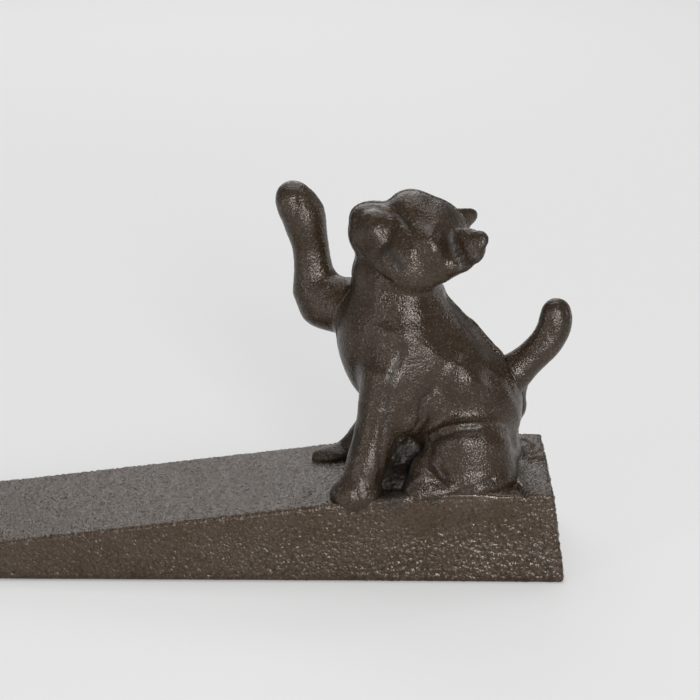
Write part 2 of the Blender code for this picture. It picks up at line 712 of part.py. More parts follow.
IRON = (0.060, 0.048, 0.040, 1.0)
make_wedge(new_material("wedge iron", IRON, 0.45, 0.6))
make_cat(new_material("cat iron", IRON, 0.38, 0.6))
make_fasteners(new_material("zinc-plated steel", (0.55, 0.55, 0.53, 1.0), 0.35, 1.0))
make_pads(new_material("pad rubber", (0.02, 0.02, 0.02, 1.0), 0.85, 0.0))
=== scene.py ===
# %% [markdown]
# This script dresses a cast iron doorstop: a long wedge with a small cat sitting on its heel, one paw raised.
# The real thing is poured into sand moulds, knocked out, ground where it has to fit, screwed together and
# painted dark brown. Its charm is in what that leaves behind: soft forms, a thin seam where the moulds met, a
# sandy grain and gloss on everything that catches the light. The frame gives every piece its place, in
# metres, and this script makes the surfaces that a visitor would see.

import math

import bmesh
import bpy
import numpy as np
from mathutils import Matrix, Vector, bvhtree, noise


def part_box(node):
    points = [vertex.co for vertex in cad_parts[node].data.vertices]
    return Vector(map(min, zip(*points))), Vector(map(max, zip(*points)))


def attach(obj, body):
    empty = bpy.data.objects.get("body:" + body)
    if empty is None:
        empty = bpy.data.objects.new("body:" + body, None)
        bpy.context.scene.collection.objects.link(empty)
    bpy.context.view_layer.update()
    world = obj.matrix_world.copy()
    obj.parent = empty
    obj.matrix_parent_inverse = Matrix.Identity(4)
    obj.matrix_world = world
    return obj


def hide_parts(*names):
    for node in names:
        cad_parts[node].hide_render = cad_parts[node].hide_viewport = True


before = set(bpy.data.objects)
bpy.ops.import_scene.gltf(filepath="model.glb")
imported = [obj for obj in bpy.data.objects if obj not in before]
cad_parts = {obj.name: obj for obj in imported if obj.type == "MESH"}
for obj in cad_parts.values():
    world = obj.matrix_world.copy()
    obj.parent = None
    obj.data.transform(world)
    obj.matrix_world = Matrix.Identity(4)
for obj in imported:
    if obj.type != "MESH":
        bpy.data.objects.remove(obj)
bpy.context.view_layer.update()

# %% [markdown]
# A lens is found by what it does to straight edges. The wedge's edges in the photograph fit a long lens, half
# a metre away, looking down by eighteen degrees and almost square to the side. A long lens keeps the
# proportions honest, so the camera is set up from those few numbers and aimed at a point measured from the
# wedge's heel.

# %% Camera
MM = 0.001
PHOTO_SIDE = 700
FOCAL_PIXELS = 1899.0
DISTANCE = 479.7 * MM
ELEVATION, AZIMUTH, ROLL = (math.radians(angle) for angle in (18.37, 1.06, -0.21))
AIM_FROM_HEEL = Vector((-55.6 * MM, 0.0, 63.7 * MM))
wedge_low, wedge_high = (Vector(corner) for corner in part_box("wedge_casting"))
aim = Vector((wedge_high.x, wedge_low.y, wedge_low.z)) + AIM_FROM_HEEL
back = Vector((
    math.sin(AZIMUTH) * math.cos(ELEVATION),
    -math.cos(AZIMUTH) * math.cos(ELEVATION),
    math.sin(ELEVATION),
))
across = Vector((math.cos(AZIMUTH), math.sin(AZIMUTH), 0.0))
rise = across.cross(-back)
right = across * math.cos(ROLL) + rise * math.sin(ROLL)
up = rise * math.cos(ROLL) - across * math.sin(ROLL)


def linked(name, data):
    """A new object in the scene."""
    made = bpy.data.objects.new(name, data)
    bpy.context.scene.collection.objects.link(made)
    return made


lens = bpy.data.cameras.new("photo_camera")
lens.sensor_width = 36.0
lens.lens = FOCAL_PIXELS * lens.sensor_width / PHOTO_SIDE
camera = linked("photo_camera", lens)
turn = Matrix((right, up, back)).transposed().to_4x4()
camera.matrix_world = Matrix.Translation(aim + back * DISTANCE) @ turn
bpy.context.scene.camera = camera
print("camera: lens %.1f mm at" % lens.lens, [round(v / MM, 1) for v in camera.location])

# %% [markdown]
# Backdrop, paint and steel are all built from shader nodes. One helper adds a node and links or sets each of
# its inputs, the next ones are its usual kinds, and the last starts a material with its plain values.

# %% Node helpers


def add_node(tree, kind, inputs, **settings):
    """Adds a node; an input is linked, or set where its value is a plain number or colour."""
    made = tree.nodes.new("ShaderNode" + kind)
    for label, value in settings.items():
        setattr(made, label, value)
    for label, value in inputs.items():
        if isinstance(value, bpy.types.NodeSocket):
            tree.links.new(value, made.inputs[label])
        else:
            made.inputs[label].default_value = value
    return made


def math_node(tree, operation, one, other=0.0):
    return add_node(tree, "Math", {0: one, 1: other}, operation=operation).outputs["Value"]


def range_node(tree, value, low, high, to_low=0.0, to_high=1.0):
    limits = {"From Min": low, "From Max": high, "To Min": to_low, "To Max": to_high}
    return add_node(tree, "MapRange", {"Value": value, **limits}).outputs["Result"]


def object_place(tree):
    return add_node(tree, "TexCoord", {}).outputs["Object"]


def new_material(name, inputs):
    """A material, its node tree and its shader, with the shader's plain values set."""
    made = bpy.data.materials.new(name)
    made.use_nodes = True
    shader = made.node_tree.nodes["Principled BSDF"]
    for label, value in inputs.items():
        shader.inputs[label].default_value = value
    return made, made.node_tree, shader


print("node helpers: ready")

# %% [markdown]
# Dark glossy iron is lit by what it reflects. A large soft lamp overhead and a bright sheet behind the object
# give the top of the ramp its grey bloom. A narrow strip beside the camera makes the small highlights on the
# rounded forms, and two weak side lamps draw the edges. Each lamp stands round the cat at a turn, in degrees
# from the near side towards the heel, and at a height, in degrees above the floor.

# %% Lamps
CAT_MIDDLE = Vector((0.07, 0.0, 0.055))
LAMPS = [  # name, turn, height, distance, size, power
    ("overhead", 180, 75, 1.5, (1.2, 1.0), 9.0),
    ("back_sheet", 190, 27, 1.4, (1.1, 0.5), 4.2),
    ("near_strip", 12, 15, 0.9, (0.20, 0.42), 6.2),
    ("heel_side", 118, 8, 0.9, (0.10, 0.45), 0.7),
    ("toe_side", -48, 8, 0.9, (0.10, 0.35), 1.0),
]
for name, turn, height, distance, size, power in LAMPS:
    light = bpy.data.lights.new(name, "AREA")
    light.shape = "RECTANGLE"
    light.size, light.size_y = size
    light.energy = power
    turn, height = math.radians(turn), math.radians(height)
    flat = math.cos(height) * distance
    place = CAT_MIDDLE + Vector((math.sin(turn) * flat, -math.cos(turn) * flat, math.sin(height) * distance))
    to_cat = (place - CAT_MIDDLE).to_track_quat("Z", "Y").to_matrix().to_4x4()
    linked(name, light).matrix_world = Matrix.Translation(place) @ to_cat
print("lamps:", len(LAMPS))

# %% [markdown]
# The floor is a plain sheet. The camera sees it mixed with the glow of pale paper, so it is nearly white and
# still takes the object's soft shadow, and it sees the world as the same paper. The floor's glow stops at the
# wedge's footprint, so the line where the iron meets the floor stays dark.

# %% Floor and backdrop
PAPER, FLOOR_TONE, WHITE = (0.88, 0.88, 0.88, 1.0), (0.78, 0.78, 0.78, 1.0), (1.0, 1.0, 1.0, 1.0)
SURROUND_LIGHT, SHADOW_SHARE = 0.24, 0.56
FLOOR_SIDE = 6.0
GLOW_FROM, GLOW_FULL = -1.0 * MM, 1.5 * MM  # measured outwards from the wedge's sides


def new_object(name, bm):
    mesh = bpy.data.meshes.new(name)
    bm.to_mesh(mesh)
    bm.free()
    return linked(name, mesh)


def camera_mix(tree, output, plain, seen, share):
    """Lets one shader light the scene and shows the camera a share of another."""
    seen_share = math_node(tree, "MULTIPLY", add_node(tree, "LightPath", {}).outputs["Is Camera Ray"], share)
    mix = add_node(tree, "MixShader", {"Fac": seen_share, 1: plain, 2: seen})
    tree.links.new(mix.outputs["Shader"], tree.nodes[output].inputs["Surface"])


world = bpy.data.worlds.new("studio")
bpy.context.scene.world = world
world.use_nodes = True
surround = world.node_tree.nodes["Background"]
surround.inputs["Color"].default_value = WHITE
surround.inputs["Strength"].default_value = SURROUND_LIGHT
paper = add_node(world.node_tree, "Background", {"Color": PAPER}).outputs["Background"]
camera_mix(world.node_tree, "World Output", surround.outputs["Background"], paper, 1.0)

bm = bmesh.new()
bmesh.ops.create_grid(bm, x_segments=1, y_segments=1, size=FLOOR_SIDE / 2)
floor = new_object("studio_floor", bm)
floor_paint, tree, shader = new_material(
    "pale paper", {"Base Color": FLOOR_TONE, "Roughness": 0.9, "Specular IOR Level": 0.1})
place = add_node(tree, "SeparateXYZ", {"Vector": object_place(tree)})
beyond = [
    range_node(tree, math_node(tree, "ABSOLUTE", place.outputs[axis]), reach + GLOW_FROM, reach + GLOW_FULL)
    for axis, reach in (("X", wedge_high.x), ("Y", wedge_high.y))
]
share = math_node(tree, "MULTIPLY", math_node(tree, "MAXIMUM", *beyond), 1 - SHADOW_SHARE)
glow = add_node(tree, "Emission", {"Color": PAPER}).outputs["Emission"]
camera_mix(tree, "Material Output", shader.outputs["BSDF"], glow, share)
floor.data.materials.append(floor_paint)
print("studio: floor", FLOOR_SIDE, "m across")

# %% [markdown]
# The cat is a hand-modelled form: round masses that flow into each other. Two kinds of form are enough. An
# egg is a stretched and tilted ball, and a limb is a chain of balls joined by cones. Each can say how far any
# point lies from its surface, and a soft union of those distances gives the fillets that a modeller's thumb
# would leave. The forms are drawn in millimetres from the point that the cat sits on.

# %% Forms
FLAT_POWER = 0.6  # brings a flattened limb's stretched distances back to about their true size


class Egg:
    """A rounded mass: centre and half sizes, tilted about the Y axis by so many degrees."""

    def __init__(self, centre, half, tilt=0.0):
        self.centre, self.half, self.tilt = np.array(centre, float), np.array(half, float), tilt
        self.turn = np.array(Matrix.Rotation(math.radians(tilt), 3, "Y"))

    def distance(self, points):
        local = (points - self.centre) @ self.turn
        near = np.linalg.norm(local / self.half, axis=1)
        slope = np.linalg.norm(local / self.half**2, axis=1) + 1e-9
        return near * (near - 1) / slope

    def rough(self, bm):
        size = Matrix.Diagonal((*self.half, 1.0))
        turn = Matrix.Rotation(math.radians(self.tilt), 4, "Y")
        matrix = Matrix.Translation(self.centre) @ turn @ size
        bmesh.ops.create_uvsphere(bm, u_segments=24, v_segments=16, radius=1.0, matrix=matrix)

    def mirrored(self):
        return Egg(self.centre * (1, -1, 1), self.half, self.tilt)


class Limb:
    """A tapering limb through stations (x, y, z, radius), flattened along an axis if one is given."""

    def __init__(self, stations, soft=4.0, flat_axis=None, flatten=1.0):
        self.given, self.soft = np.array(stations, float), soft
        self.axis = None if flat_axis is None else np.array(flat_axis) / np.linalg.norm(flat_axis)
        self.flatten = flatten
        self.stations = self.given.copy()
        self.stations[:, :3] = self.stretched(self.given[:, :3])

    def stretched(self, points):
        """Space drawn out along the axis, so that the round limb there is a flat one here."""
        if self.axis is None:
            return points
        height = (points - self.given[0, :3]) @ self.axis
        return points + np.outer(height * (self.flatten - 1), self.axis)

    def distance(self, points):
        points = self.stretched(points)
        found = None
        for start, end in zip(self.stations, self.stations[1:]):
            along = end[:3] - start[:3]
            length = np.linalg.norm(along)
            along = along / length
            # The side of a cone that touches both balls leans by this sine.
            lean = np.clip((start[3] - end[3]) / length, -0.999, 0.999)
            offset = points - start[:3]
            ahead = offset @ along
            out = np.sqrt(np.maximum((offset**2).sum(axis=1) - ahead**2, 0))
            foot = np.clip(ahead + out * lean / np.sqrt(1 - lean**2), 0, length)
            one = np.hypot(ahead - foot, out) - (start[3] + (end[3] - start[3]) * foot / length)
            found = one if found is None else soft_union(found, one, self.soft)
        return found / self.flatten**FLAT_POWER

    def rough(self, bm):
        place = Matrix.Identity(4)
        if self.axis is not None:
            anchor = Matrix.Translation(self.stations[0, :3])
            thin = Matrix.Scale(1 / self.flatten, 4, Vector(self.axis))
            place = anchor @ thin @ anchor.inverted()
        for station in self.stations:
            matrix = place @ Matrix.Translation(station[:3])
            bmesh.ops.create_icosphere(bm, subdivisions=3, radius=station[3], matrix=matrix)
        for start, end in zip(self.stations, self.stations[1:]):
            along = Vector(end[:3] - start[:3])
            turn = along.to_track_quat("Z", "Y").to_matrix().to_4x4()
            matrix = place @ Matrix.Translation((start[:3] + end[:3]) / 2) @ turn
            bmesh.ops.create_cone(
                bm, cap_ends=True, segments=20, radius1=start[3], radius2=end[3],
                depth=along.length, matrix=matrix,
            )

    def mirrored(self):
        axis = None if self.axis is None else self.axis * (1, -1, 1)
        return Limb(self.given * (1, -1, 1, 1), self.soft, axis, self.flatten)


def soft_union(one, other, soft):
    """Joins two distances with a fillet about as wide as soft."""
    overlap = np.maximum(soft - np.abs(one - other), 0) / max(soft, 1e-6)
    return np.minimum(one, other) - overlap**2 * soft / 4


def soft_cut(body, cutter, soft):
    return -soft_union(-body, cutter, soft)


def surface_of(forms, points):
    """Distance from each point to the blended surface of the forms, each with the softness of its join."""
    found = forms[0][0].distance(points)
    for form, soft in forms[1:]:
        found = soft_union(found, form.distance(points), soft)
    return found


print("forms: eggs and limbs, in millimetres from the seat")

# %% [markdown]
# A cat is drawn from its skeleton outwards. The trunk is a leaning column of shoulders, ribs and rump. The
# head tips back to look up, so its muzzle points along the raised paw. The haunch is the widest mass and the
# hind foot lies in front of it. Every line below is one mass or one leg, with how softly it joins what came
# before.

# %% The cat's forms
TORSO = [
    (Egg((-15.9, 0, 37.0), (16.7, 14.0, 15.2), -14), 0),  # shoulders
    (Limb([(-17.4, 0, 43, 12.2), (-17.1, 0, 53, 11.4)]), 4),  # neck
    (Egg((-9.5, 0, 28), (17.5, 14.6, 14.5), -38), 5),  # ribs
    (Egg((0.2, 0.4, 17.5), (16.8, 16.1, 17.0)), 5),  # rump
    (Egg((-19.5, 0, 29.2), (9.9, 9.5, 10.0), 18), 5),  # breast
    (Limb([(-14.4, -3.2, 46, 9.8), (-13.2, -3.7, 38, 11.6), (-11.8, -5.4, 31, 10.8)]), 2.0),  # upper arm
    (Egg((0.2, -8.5, 28.0), (7.6, 7.6, 9.2), -28), 2.5),  # flank
]
CHEEK = Egg((-14.0, -8.8, 57.5), (8.6, 5.6, 6.6), 25)
CHEEKBONE = Egg((-8.0, -9.0, 62.8), (5.2, 5.4, 6.2), 10)
LIP = Egg((-21.4, -5.6, 65.4), (4.2, 3.6, 6.4), -25)
RUFF = Limb([(-1.1, -9.4, 60.0, 3.8), (-5.2, -8.6, 57.0, 3.2)], 3)
HEAD = [
    (Egg((-10.6, 0, 62.4), (12.6, 13.2, 11.6), -10), 0),  # skull
    (Egg((-13.4, 0, 69.9), (6.2, 8.2, 5.8), -8), 2.0),  # brow
    (Egg((-22.4, 0, 64.9), (7.0, 7.6, 7.4), 10), 3.0),  # muzzle
    (Egg((-25.0, 0, 69.3), (3.7, 4.2, 2.7), -10), 2),  # nose
    (Egg((-21.6, 0, 59.6), (7.2, 6.5, 3.8), 35), 2.5),  # jaw
    (CHEEK, 3),
    (CHEEK.mirrored(), 3),
    (CHEEKBONE, 2),
    (CHEEKBONE.mirrored(), 2),
    (LIP, 2),
    (LIP.mirrored(), 2),
    (RUFF, 2.5),  # fur between the ear and the jaw
    (RUFF.mirrored(), 2.5),
]
TEMPLE = Egg((-2.6, -14.8, 64.4), (2.2, 4.4, 6.6), -26)
NEAR_LEAN, FAR_LEAN = (-0.25, -1.0, 0.45), (-0.25, 1.0, 0.45)
NEAR_EAR = Limb(
    [(-0.6, -9.8, 62.8, 5.0), (0.8, -11.0, 63.4, 5.0), (3.9, -12.6, 65.8, 2.4)], 2, NEAR_LEAN, 2.2)
NEAR_EAR_CUP = Limb([(0.4, -14.1, 63.9, 3.7), (2.2, -14.6, 65.6, 1.6)], 2, NEAR_LEAN, 1.6)
FAR_EAR = Limb([(-4.0, 8.6, 62.4, 5.0), (-0.9, 10.6, 64.6, 4.2), (2.3, 11.8, 65.8, 2.4)], 2, FAR_LEAN, 2.2)
FAR_EAR_CUP = Limb([(-1.9, 12.8, 65.2, 3.2), (1.4, 13.4, 66.6, 1.3)], 2, FAR_LEAN, 1.6)
HIND_QUARTERS = [
    (Egg((2.0, -12.4, 10.0), (11.4, 8.4, 9.6), 12), 1.6),  # near thigh
    (Egg((2.4, -12.6, 2.0), (12.6, 8.8, 8.4), 4), 4),  # near haunch, down to the wedge's edge
    (Egg((-2.5, 12.6, 9.5), (13.5, 8.0, 10.0), 10), 1.6),  # far thigh
    (Egg((2.6, 0, 4.5), (14.2, 18.0, 9.5)), 3),  # seat
    (Egg((-12.0, 7, 2), (11, 8, 10)), 2),  # belly between the legs
    (Egg((-13.4, -3.2, 3.5), (9.0, 6.8, 9.0)), 1.5),  # rough iron left between the legs
    (Egg((-14.8, -10.6, -1.0), (8.4, 6.6, 4.4)), 3.0),
]
NEAR_HIND_LEG = [
    (Limb([(-4.5, -13, 8, 4.8), (-8.6, -16.0, 4.6, 3.6), (-10.6, -17.8, 0.6, 3.4)]), 1.2),
    (Egg((-9.6, -18.0, -0.6), (5.7, 4.4, 4.9), -25), 1.0),  # paw
    (  # sole, along and over the wedge's near edge
        Limb([
            (-11.2, -19.4, -2.0, 2.7), (-4.5, -19.4, -0.9, 2.4), (4, -19.0, 0.8, 2.2), (9.6, -17.6, 1.4, 2.0),
        ]),
        3.0,
    ),
]
FAR_HIND_LEG = [
    (
        Limb([
            (-14, 13, 8, 6.5), (-22.8, 13.5, 4.6, 5.1), (-27, 13.5, 0.9, 3.1),
            (-31.5, 13, -2.0, 1.9), (-36.5, 12, -2.8, 1.5), (-38.4, 11.5, -3.0, 1.3),
        ]),
        2,
    ),
    (Egg((-33.0, 11.6, -2.0), (6.2, 3.6, 2.0), -8), 1.5),  # broad top of the paw
]
NEAR_FORELEG = [
    (
        Limb([
            (-16.0, -8.5, 36, 9.0), (-19.0, -11.0, 28, 6.5), (-20.9, -12.6, 20, 4.8),
            (-22.7, -14.0, 12.5, 4.15), (-24.6, -15.8, 6, 4.1), (-26.4, -17.0, 1.4, 4.6),
        ], 5),
        2.5,
    ),
    (Egg((-27.4, -18.2, -1.5), (6.9, 5.3, 5.3), -6), 1.5),  # paw
    (Limb([(-9.5, -8.0, 33, 8.0), (-15, -11.0, 23, 5.2), (-19.5, -13, 14, 3.0)]), 2.5),  # elbow
    (Limb([(-8.0, -9.4, 23.0, 5.6), (-13.6, -12.2, 17.4, 4.4)]), 2.0),  # skin between elbow and thigh
]
RAISED_FORELEG = Limb([
    (-20, 6, 40, 9.0), (-27, 6.5, 41.8, 7.5), (-33.0, 8.5, 42.4, 6.1), (-36.5, 10, 42.8, 6.0),
    (-38.6, 10, 47.2, 5.0), (-39.2, 10, 53, 3.8), (-39.7, 10, 58.3, 3.7), (-40.8, 10, 63.2, 4.1),
    (-41.6, 10, 66.9, 4.7), (-43.3, 10, 69.7, 4.0), (-44.5, 10, 71.6, 3.8),
])
TAIL = Limb([
    (8, 1.5, 19.5, 6.0), (11.7, 1.5, 22.8, 4.6), (15.8, 1.5, 26.9, 3.6), (19.8, 1.5, 30.7, 3.05),
    (22.9, 1.5, 34.1, 3.05), (24.9, 1.5, 38.0, 3.0), (25.3, 1.5, 41.6, 2.85), (25.3, 1.5, 42.8, 2.8),
])
# Cast flash under the tail.
FIN = Limb([(16.9, 2.2, 21.5, 1.4), (15.8, 2.2, 15.5, 1.3), (15.0, 2.2, 9.0, 1.1)])
BODY = TORSO + HIND_QUARTERS + NEAR_HIND_LEG + FAR_HIND_LEG + NEAR_FORELEG + [(RAISED_FORELEG, 2.5)]
CAT_FORMS = [form for form, _ in BODY + HEAD] + [NEAR_EAR, FAR_EAR]
TEMPLE_SOFT, HEAD_SOFT, EAR_RIM, EAR_SOFT, TAIL_SOFT = 3.0, 2.0, 0.7, 2.0, 1.0


def cat_surface(points):
    head = surface_of(HEAD, points)
    for ear in (NEAR_EAR, FAR_EAR):
        head = soft_union(head, ear.distance(points), EAR_SOFT)
    for hollow in (TEMPLE, TEMPLE.mirrored()):
        head = soft_cut(head, hollow.distance(points), TEMPLE_SOFT)
    for cup in (NEAR_EAR_CUP, FAR_EAR_CUP):
        head = soft_cut(head, cup.distance(points), EAR_RIM)
    return soft_union(surface_of(BODY, points), head, HEAD_SOFT)


def tailed_surface(points):
    found = soft_union(cat_surface(points), FIN.distance(points), TAIL_SOFT)
    return soft_union(found, TAIL.distance(points), TAIL_SOFT)


print("cat:", len(CAT_FORMS), "forms and a tail")

# %% [markdown]
# The CAD solids hold the true places, so the seat comes from them: it is the mean of the two base screws,
# moved forward by their setback. From here on a place on the cat is given in drawn millimetres, and two
# matrices turn those into the frame's metres and back.

# %% Place the cat
SCREWS_BEHIND_SEAT = 2.5


def middle_of(node):
    low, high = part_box(node)
    return (Vector(low) + Vector(high)) / 2


base_middle = (middle_of("near_base_screw") + middle_of("far_base_screw")) / 2
seat = Vector((base_middle.x - SCREWS_BEHIND_SEAT * MM, 0.0, wedge_high.z))
TO_WORLD = Matrix.Translation(seat) @ Matrix.Scale(MM, 4)
TO_DRAWN = TO_WORLD.inverted()
print("seat at mm", [round(v / MM, 2) for v in seat])

# %% [markdown]
# A skin is grown in three steps. Rough balls and cones are overlapped, a voxel remesh melts them into one
# closed mesh of even little faces, and then each vertex slides down the slope of the distance until it lies
# on the blended surface. Smoothing between the slides keeps the faces even. The mesh has a point every 0.4
# mm, which is fine enough to carve.

# %% Grow a skin
CAT_VOXEL = 0.42
RELAX_ROUNDS = 3
PAST_SEAM = 1.5  # a half's skin is shaped this far past the parting plane
TAIL_SKIN, TAIL_REACH = 2.0, 8.0  # the tail's points lie this near its form, and this far past the plane
LONGEST_SLIDE, FLATTEST_SLOPE = 2.0, 0.25


def bake_modifiers(obj):
    graph = bpy.context.evaluated_depsgraph_get()
    mesh = bpy.data.meshes.new_from_object(obj.evaluated_get(graph))
    obj.modifiers.clear()
    old, obj.data = obj.data, mesh
    bpy.data.meshes.remove(old)


def remesh(obj, voxel):
    modifier = obj.modifiers.new("Skin", "REMESH")
    modifier.mode = "VOXEL"
    modifier.voxel_size = voxel
    bake_modifiers(obj)


def read_points(mesh, source="co"):
    flat = np.empty(len(mesh.vertices) * 3, np.float32)
    if source == "normal":
        mesh.vertex_normals.foreach_get("vector", flat)
    else:
        mesh.vertices.foreach_get("co", flat)
    return flat.reshape(-1, 3).astype(float)


def write_points(mesh, points):
    mesh.vertices.foreach_set("co", points.astype(np.float32).ravel())
    mesh.update()


def slope_of(surface, points, here):
    step = 0.05
    return np.stack([(surface(points + axis * step) - here) / step for axis in np.eye(3)], axis=1)


def wanted(points, side):
    """Which points a half keeps: its own side of the parting plane, and all of the tail for the far half."""
    chosen = points[:, 1] * side > -PAST_SEAM
    if side > 0:
        chosen |= (TAIL.distance(points) < TAIL_SKIN) & (points[:, 1] > -TAIL_REACH)
    return chosen


def settle(mesh, surface, side):
    """Moves each vertex on that side of the parting plane on to the surface."""
    points = read_points(mesh)
    chosen = wanted(points, side)
    moved = points[chosen]
    here = surface(moved)
    slope = slope_of(surface, moved, here)
    length = np.maximum((slope**2).sum(axis=1), FLATTEST_SLOPE)
    points[chosen] = moved - slope * (np.clip(here, -LONGEST_SLIDE, LONGEST_SLIDE) / length)[:, None]
    write_points(mesh, points)


def smooth_mesh(mesh, mask=None, rounds=1):
    """Smooths all of a mesh, or only the vertices that a mask chooses."""
    bm = bmesh.new()
    bm.from_mesh(mesh)
    chosen = bm.verts[:] if mask is None else [vert for vert in bm.verts if mask[vert.index]]
    for _ in range(rounds):
        bmesh.ops.smooth_vert(bm, verts=chosen, factor=0.5, use_axis_x=True, use_axis_y=True, use_axis_z=True)
    bm.to_mesh(mesh)
    bm.free()
    mesh.update()


def grow_skin(name, forms, surface, side):
    bm = bmesh.new()
    for form in forms:
        form.rough(bm)
    made = new_object(name, bm)
    remesh(made, CAT_VOXEL)
    for _ in range(RELAX_ROUNDS):
        smooth_mesh(made.data)
        settle(made.data, surface, side)
    print(name, "skin:", len(made.data.vertices), "points")
    return made


near_half = grow_skin("cat_near_skin", CAT_FORMS, cat_surface, -1)
far_half = grow_skin("cat_far_skin", CAT_FORMS + [TAIL, FIN], tailed_surface, 1)

# %% [markdown]
# The modeller's small marks come next: the crease of the brow, the fold where the skin of the flank laps the
# thigh, the ridge along the hind foot. Each is a brush stroke. Its points were picked on the photograph, in
# pixels, and a ray from the camera carries each one on to the cat's surface. A stroke then lifts or sinks the
# skin near its path by a rounded profile so many millimetres wide.

# %% Brush strokes
FLANK_LAP = [(430, 394), (423, 400), (421, 410), (420, 422), (411, 432), (401, 441)]
THIGH_FRONT = [(436, 434), (430, 444), (430, 456), (436, 467), (446, 479)]
TAIL_EDGE = [(562, 304), (566, 311), (567, 320), (565, 330), (561, 340)]
FACE_STROKES = [  # width, height, pixels; these are mirrored to the other side of the face
    (0.9, -0.6, [(395, 211), (400, 215), (405, 221), (410, 232)]),  # brow crease
    (1.4, -0.5, [(385, 246), (392, 256), (399, 266)]),  # hollow behind the lip
    (1.6, 0.55, [(373, 230), (379, 240), (385, 251)]),  # ridge of the muzzle
    (2.4, 0.8, [(430, 238), (436, 248)]),  # cheekbone
    (1.0, 0.4, [(411, 251), (411, 258)]),
    (3.0, -0.35, [(404, 208), (416, 216), (430, 226), (441, 238)]),  # forehead
    (2.5, -0.8, [(450, 299), (458, 308), (466, 316)]),  # nape
    (0.8, -0.5, [(357, 248), (362, 256), (369, 265), (379, 275), (388, 281)]),  # mouth
    (0.7, 0.25, [(379, 206), (383, 208), (388, 210)]),  # edge of the nose
    (0.6, 0.25, [(456, 265), (465, 262), (474, 257)]),  # rim of the ear
]
BODY_STROKES = [
    (3.0, -0.45, [(434, 306), (441, 332), (451, 350)]),  # behind the shoulder
    (2.2, -0.7, [(462, 350), (476, 366), (490, 378)]),  # below the back
    (2.0, -0.5, [(388, 318), (393, 338), (394, 352)]),
    (2.2, 0.6, [(377, 290), (378, 308)]),  # breast
    (1.0, -0.35, [(403, 348), (394, 376), (387, 397), (387, 413), (381, 447), (379, 480)]),  # behind the leg
    (2.4, 0.8, [(328, 285), (340, 281)]),  # crook of the raised arm
    (3.0, -0.45, [(311, 255), (315, 268), (317, 278)]),  # flat of the forearm
    (1.2, -0.4, [(294, 186), (295, 197), (296, 208)]),  # between the raised toes
    (0.8, -0.5, FLANK_LAP),
    (0.9, 0.3, [(434, 394), (426, 401), (424, 411), (424, 421)]),
    (0.7, 0.6, [(430, 436), (438, 431), (447, 427), (460, 425), (475, 424), (488, 424)]),  # top of the thigh
    (1.2, -0.5, [(436, 440), (446, 434), (460, 431), (476, 430)]),
    (2.8, 0.4, [(461, 440), (464, 443)]),  # knee
    (1.2, -0.6, THIGH_FRONT),
    (0.7, 0.45, [(424, 468), (432, 474), (440, 481), (447, 488)]),  # ridge of the hind foot
    (0.7, 0.35, [(404, 494), (412, 482), (422, 475)]),
    (0.8, -0.45, [(398, 506), (420, 504), (447, 498), (470, 489), (492, 479)]),  # sole of the hind foot
    (0.7, 0.3, [(506, 366), (509, 378), (514, 391)]),  # root of the tail
    (2.8, -0.4, [(557, 309), (557, 320), (552, 333)]),  # flat end of the tail
    (0.6, -0.35, TAIL_EDGE),  # flash beside it
    (1.8, 0.35, [(508, 398), (515, 410), (518, 426), (516, 444)]),  # edge of the rump
    (0.7, -0.35, [(341, 490), (344, 498), (347, 505)]),  # between the toes
    (0.7, -0.35, [(356, 494), (359, 502), (361, 508)]),
]
RAY_START, RAY_STEPS, RAY_SHARE = 420.0, 80, 0.7  # a ray starts near the cat and goes this share of each gap
TOUCHING, MISSED = 0.01, 0.2


def camera_ray(pixel):
    """Where the ray through a pixel starts and which way it goes, in drawn millimetres."""
    x, y = (pixel[0] - PHOTO_SIDE / 2) / FOCAL_PIXELS, (PHOTO_SIDE / 2 - pixel[1]) / FOCAL_PIXELS
    way = (right * x + up * y - back).normalized()
    return np.array(TO_DRAWN @ camera.location), np.array(way)


def on_surface(pixel, surface):
    """The first point of the surface behind a pixel, or None where the ray misses it."""
    place, way = camera_ray(pixel)
    place = place + way * RAY_START
    for _ in range(RAY_STEPS):
        gap = float(surface(place[None, :])[0])
        if abs(gap) < TOUCHING:
            return place
        place = place + way * gap * RAY_SHARE
    return place if abs(gap) < MISSED else None


def surface_path(pixels, surface=tailed_surface):
    """The points of the cat behind some pixels, without the rays that miss it."""
    found = [on_surface(pixel, surface) for pixel in pixels]
    return [point for point in found if point is not None]


def stroke_paths():
    found = []
    for strokes, sides in ((FACE_STROKES, (1, -1)), (BODY_STROKES, (1,))):
        for width, height, pixels in strokes:
            path = surface_path(pixels)
            found += [(width, height, [point * (1, side, 1) for point in path]) for side in sides]
    return found


STROKES = stroke_paths()
print("strokes:", len(STROKES))
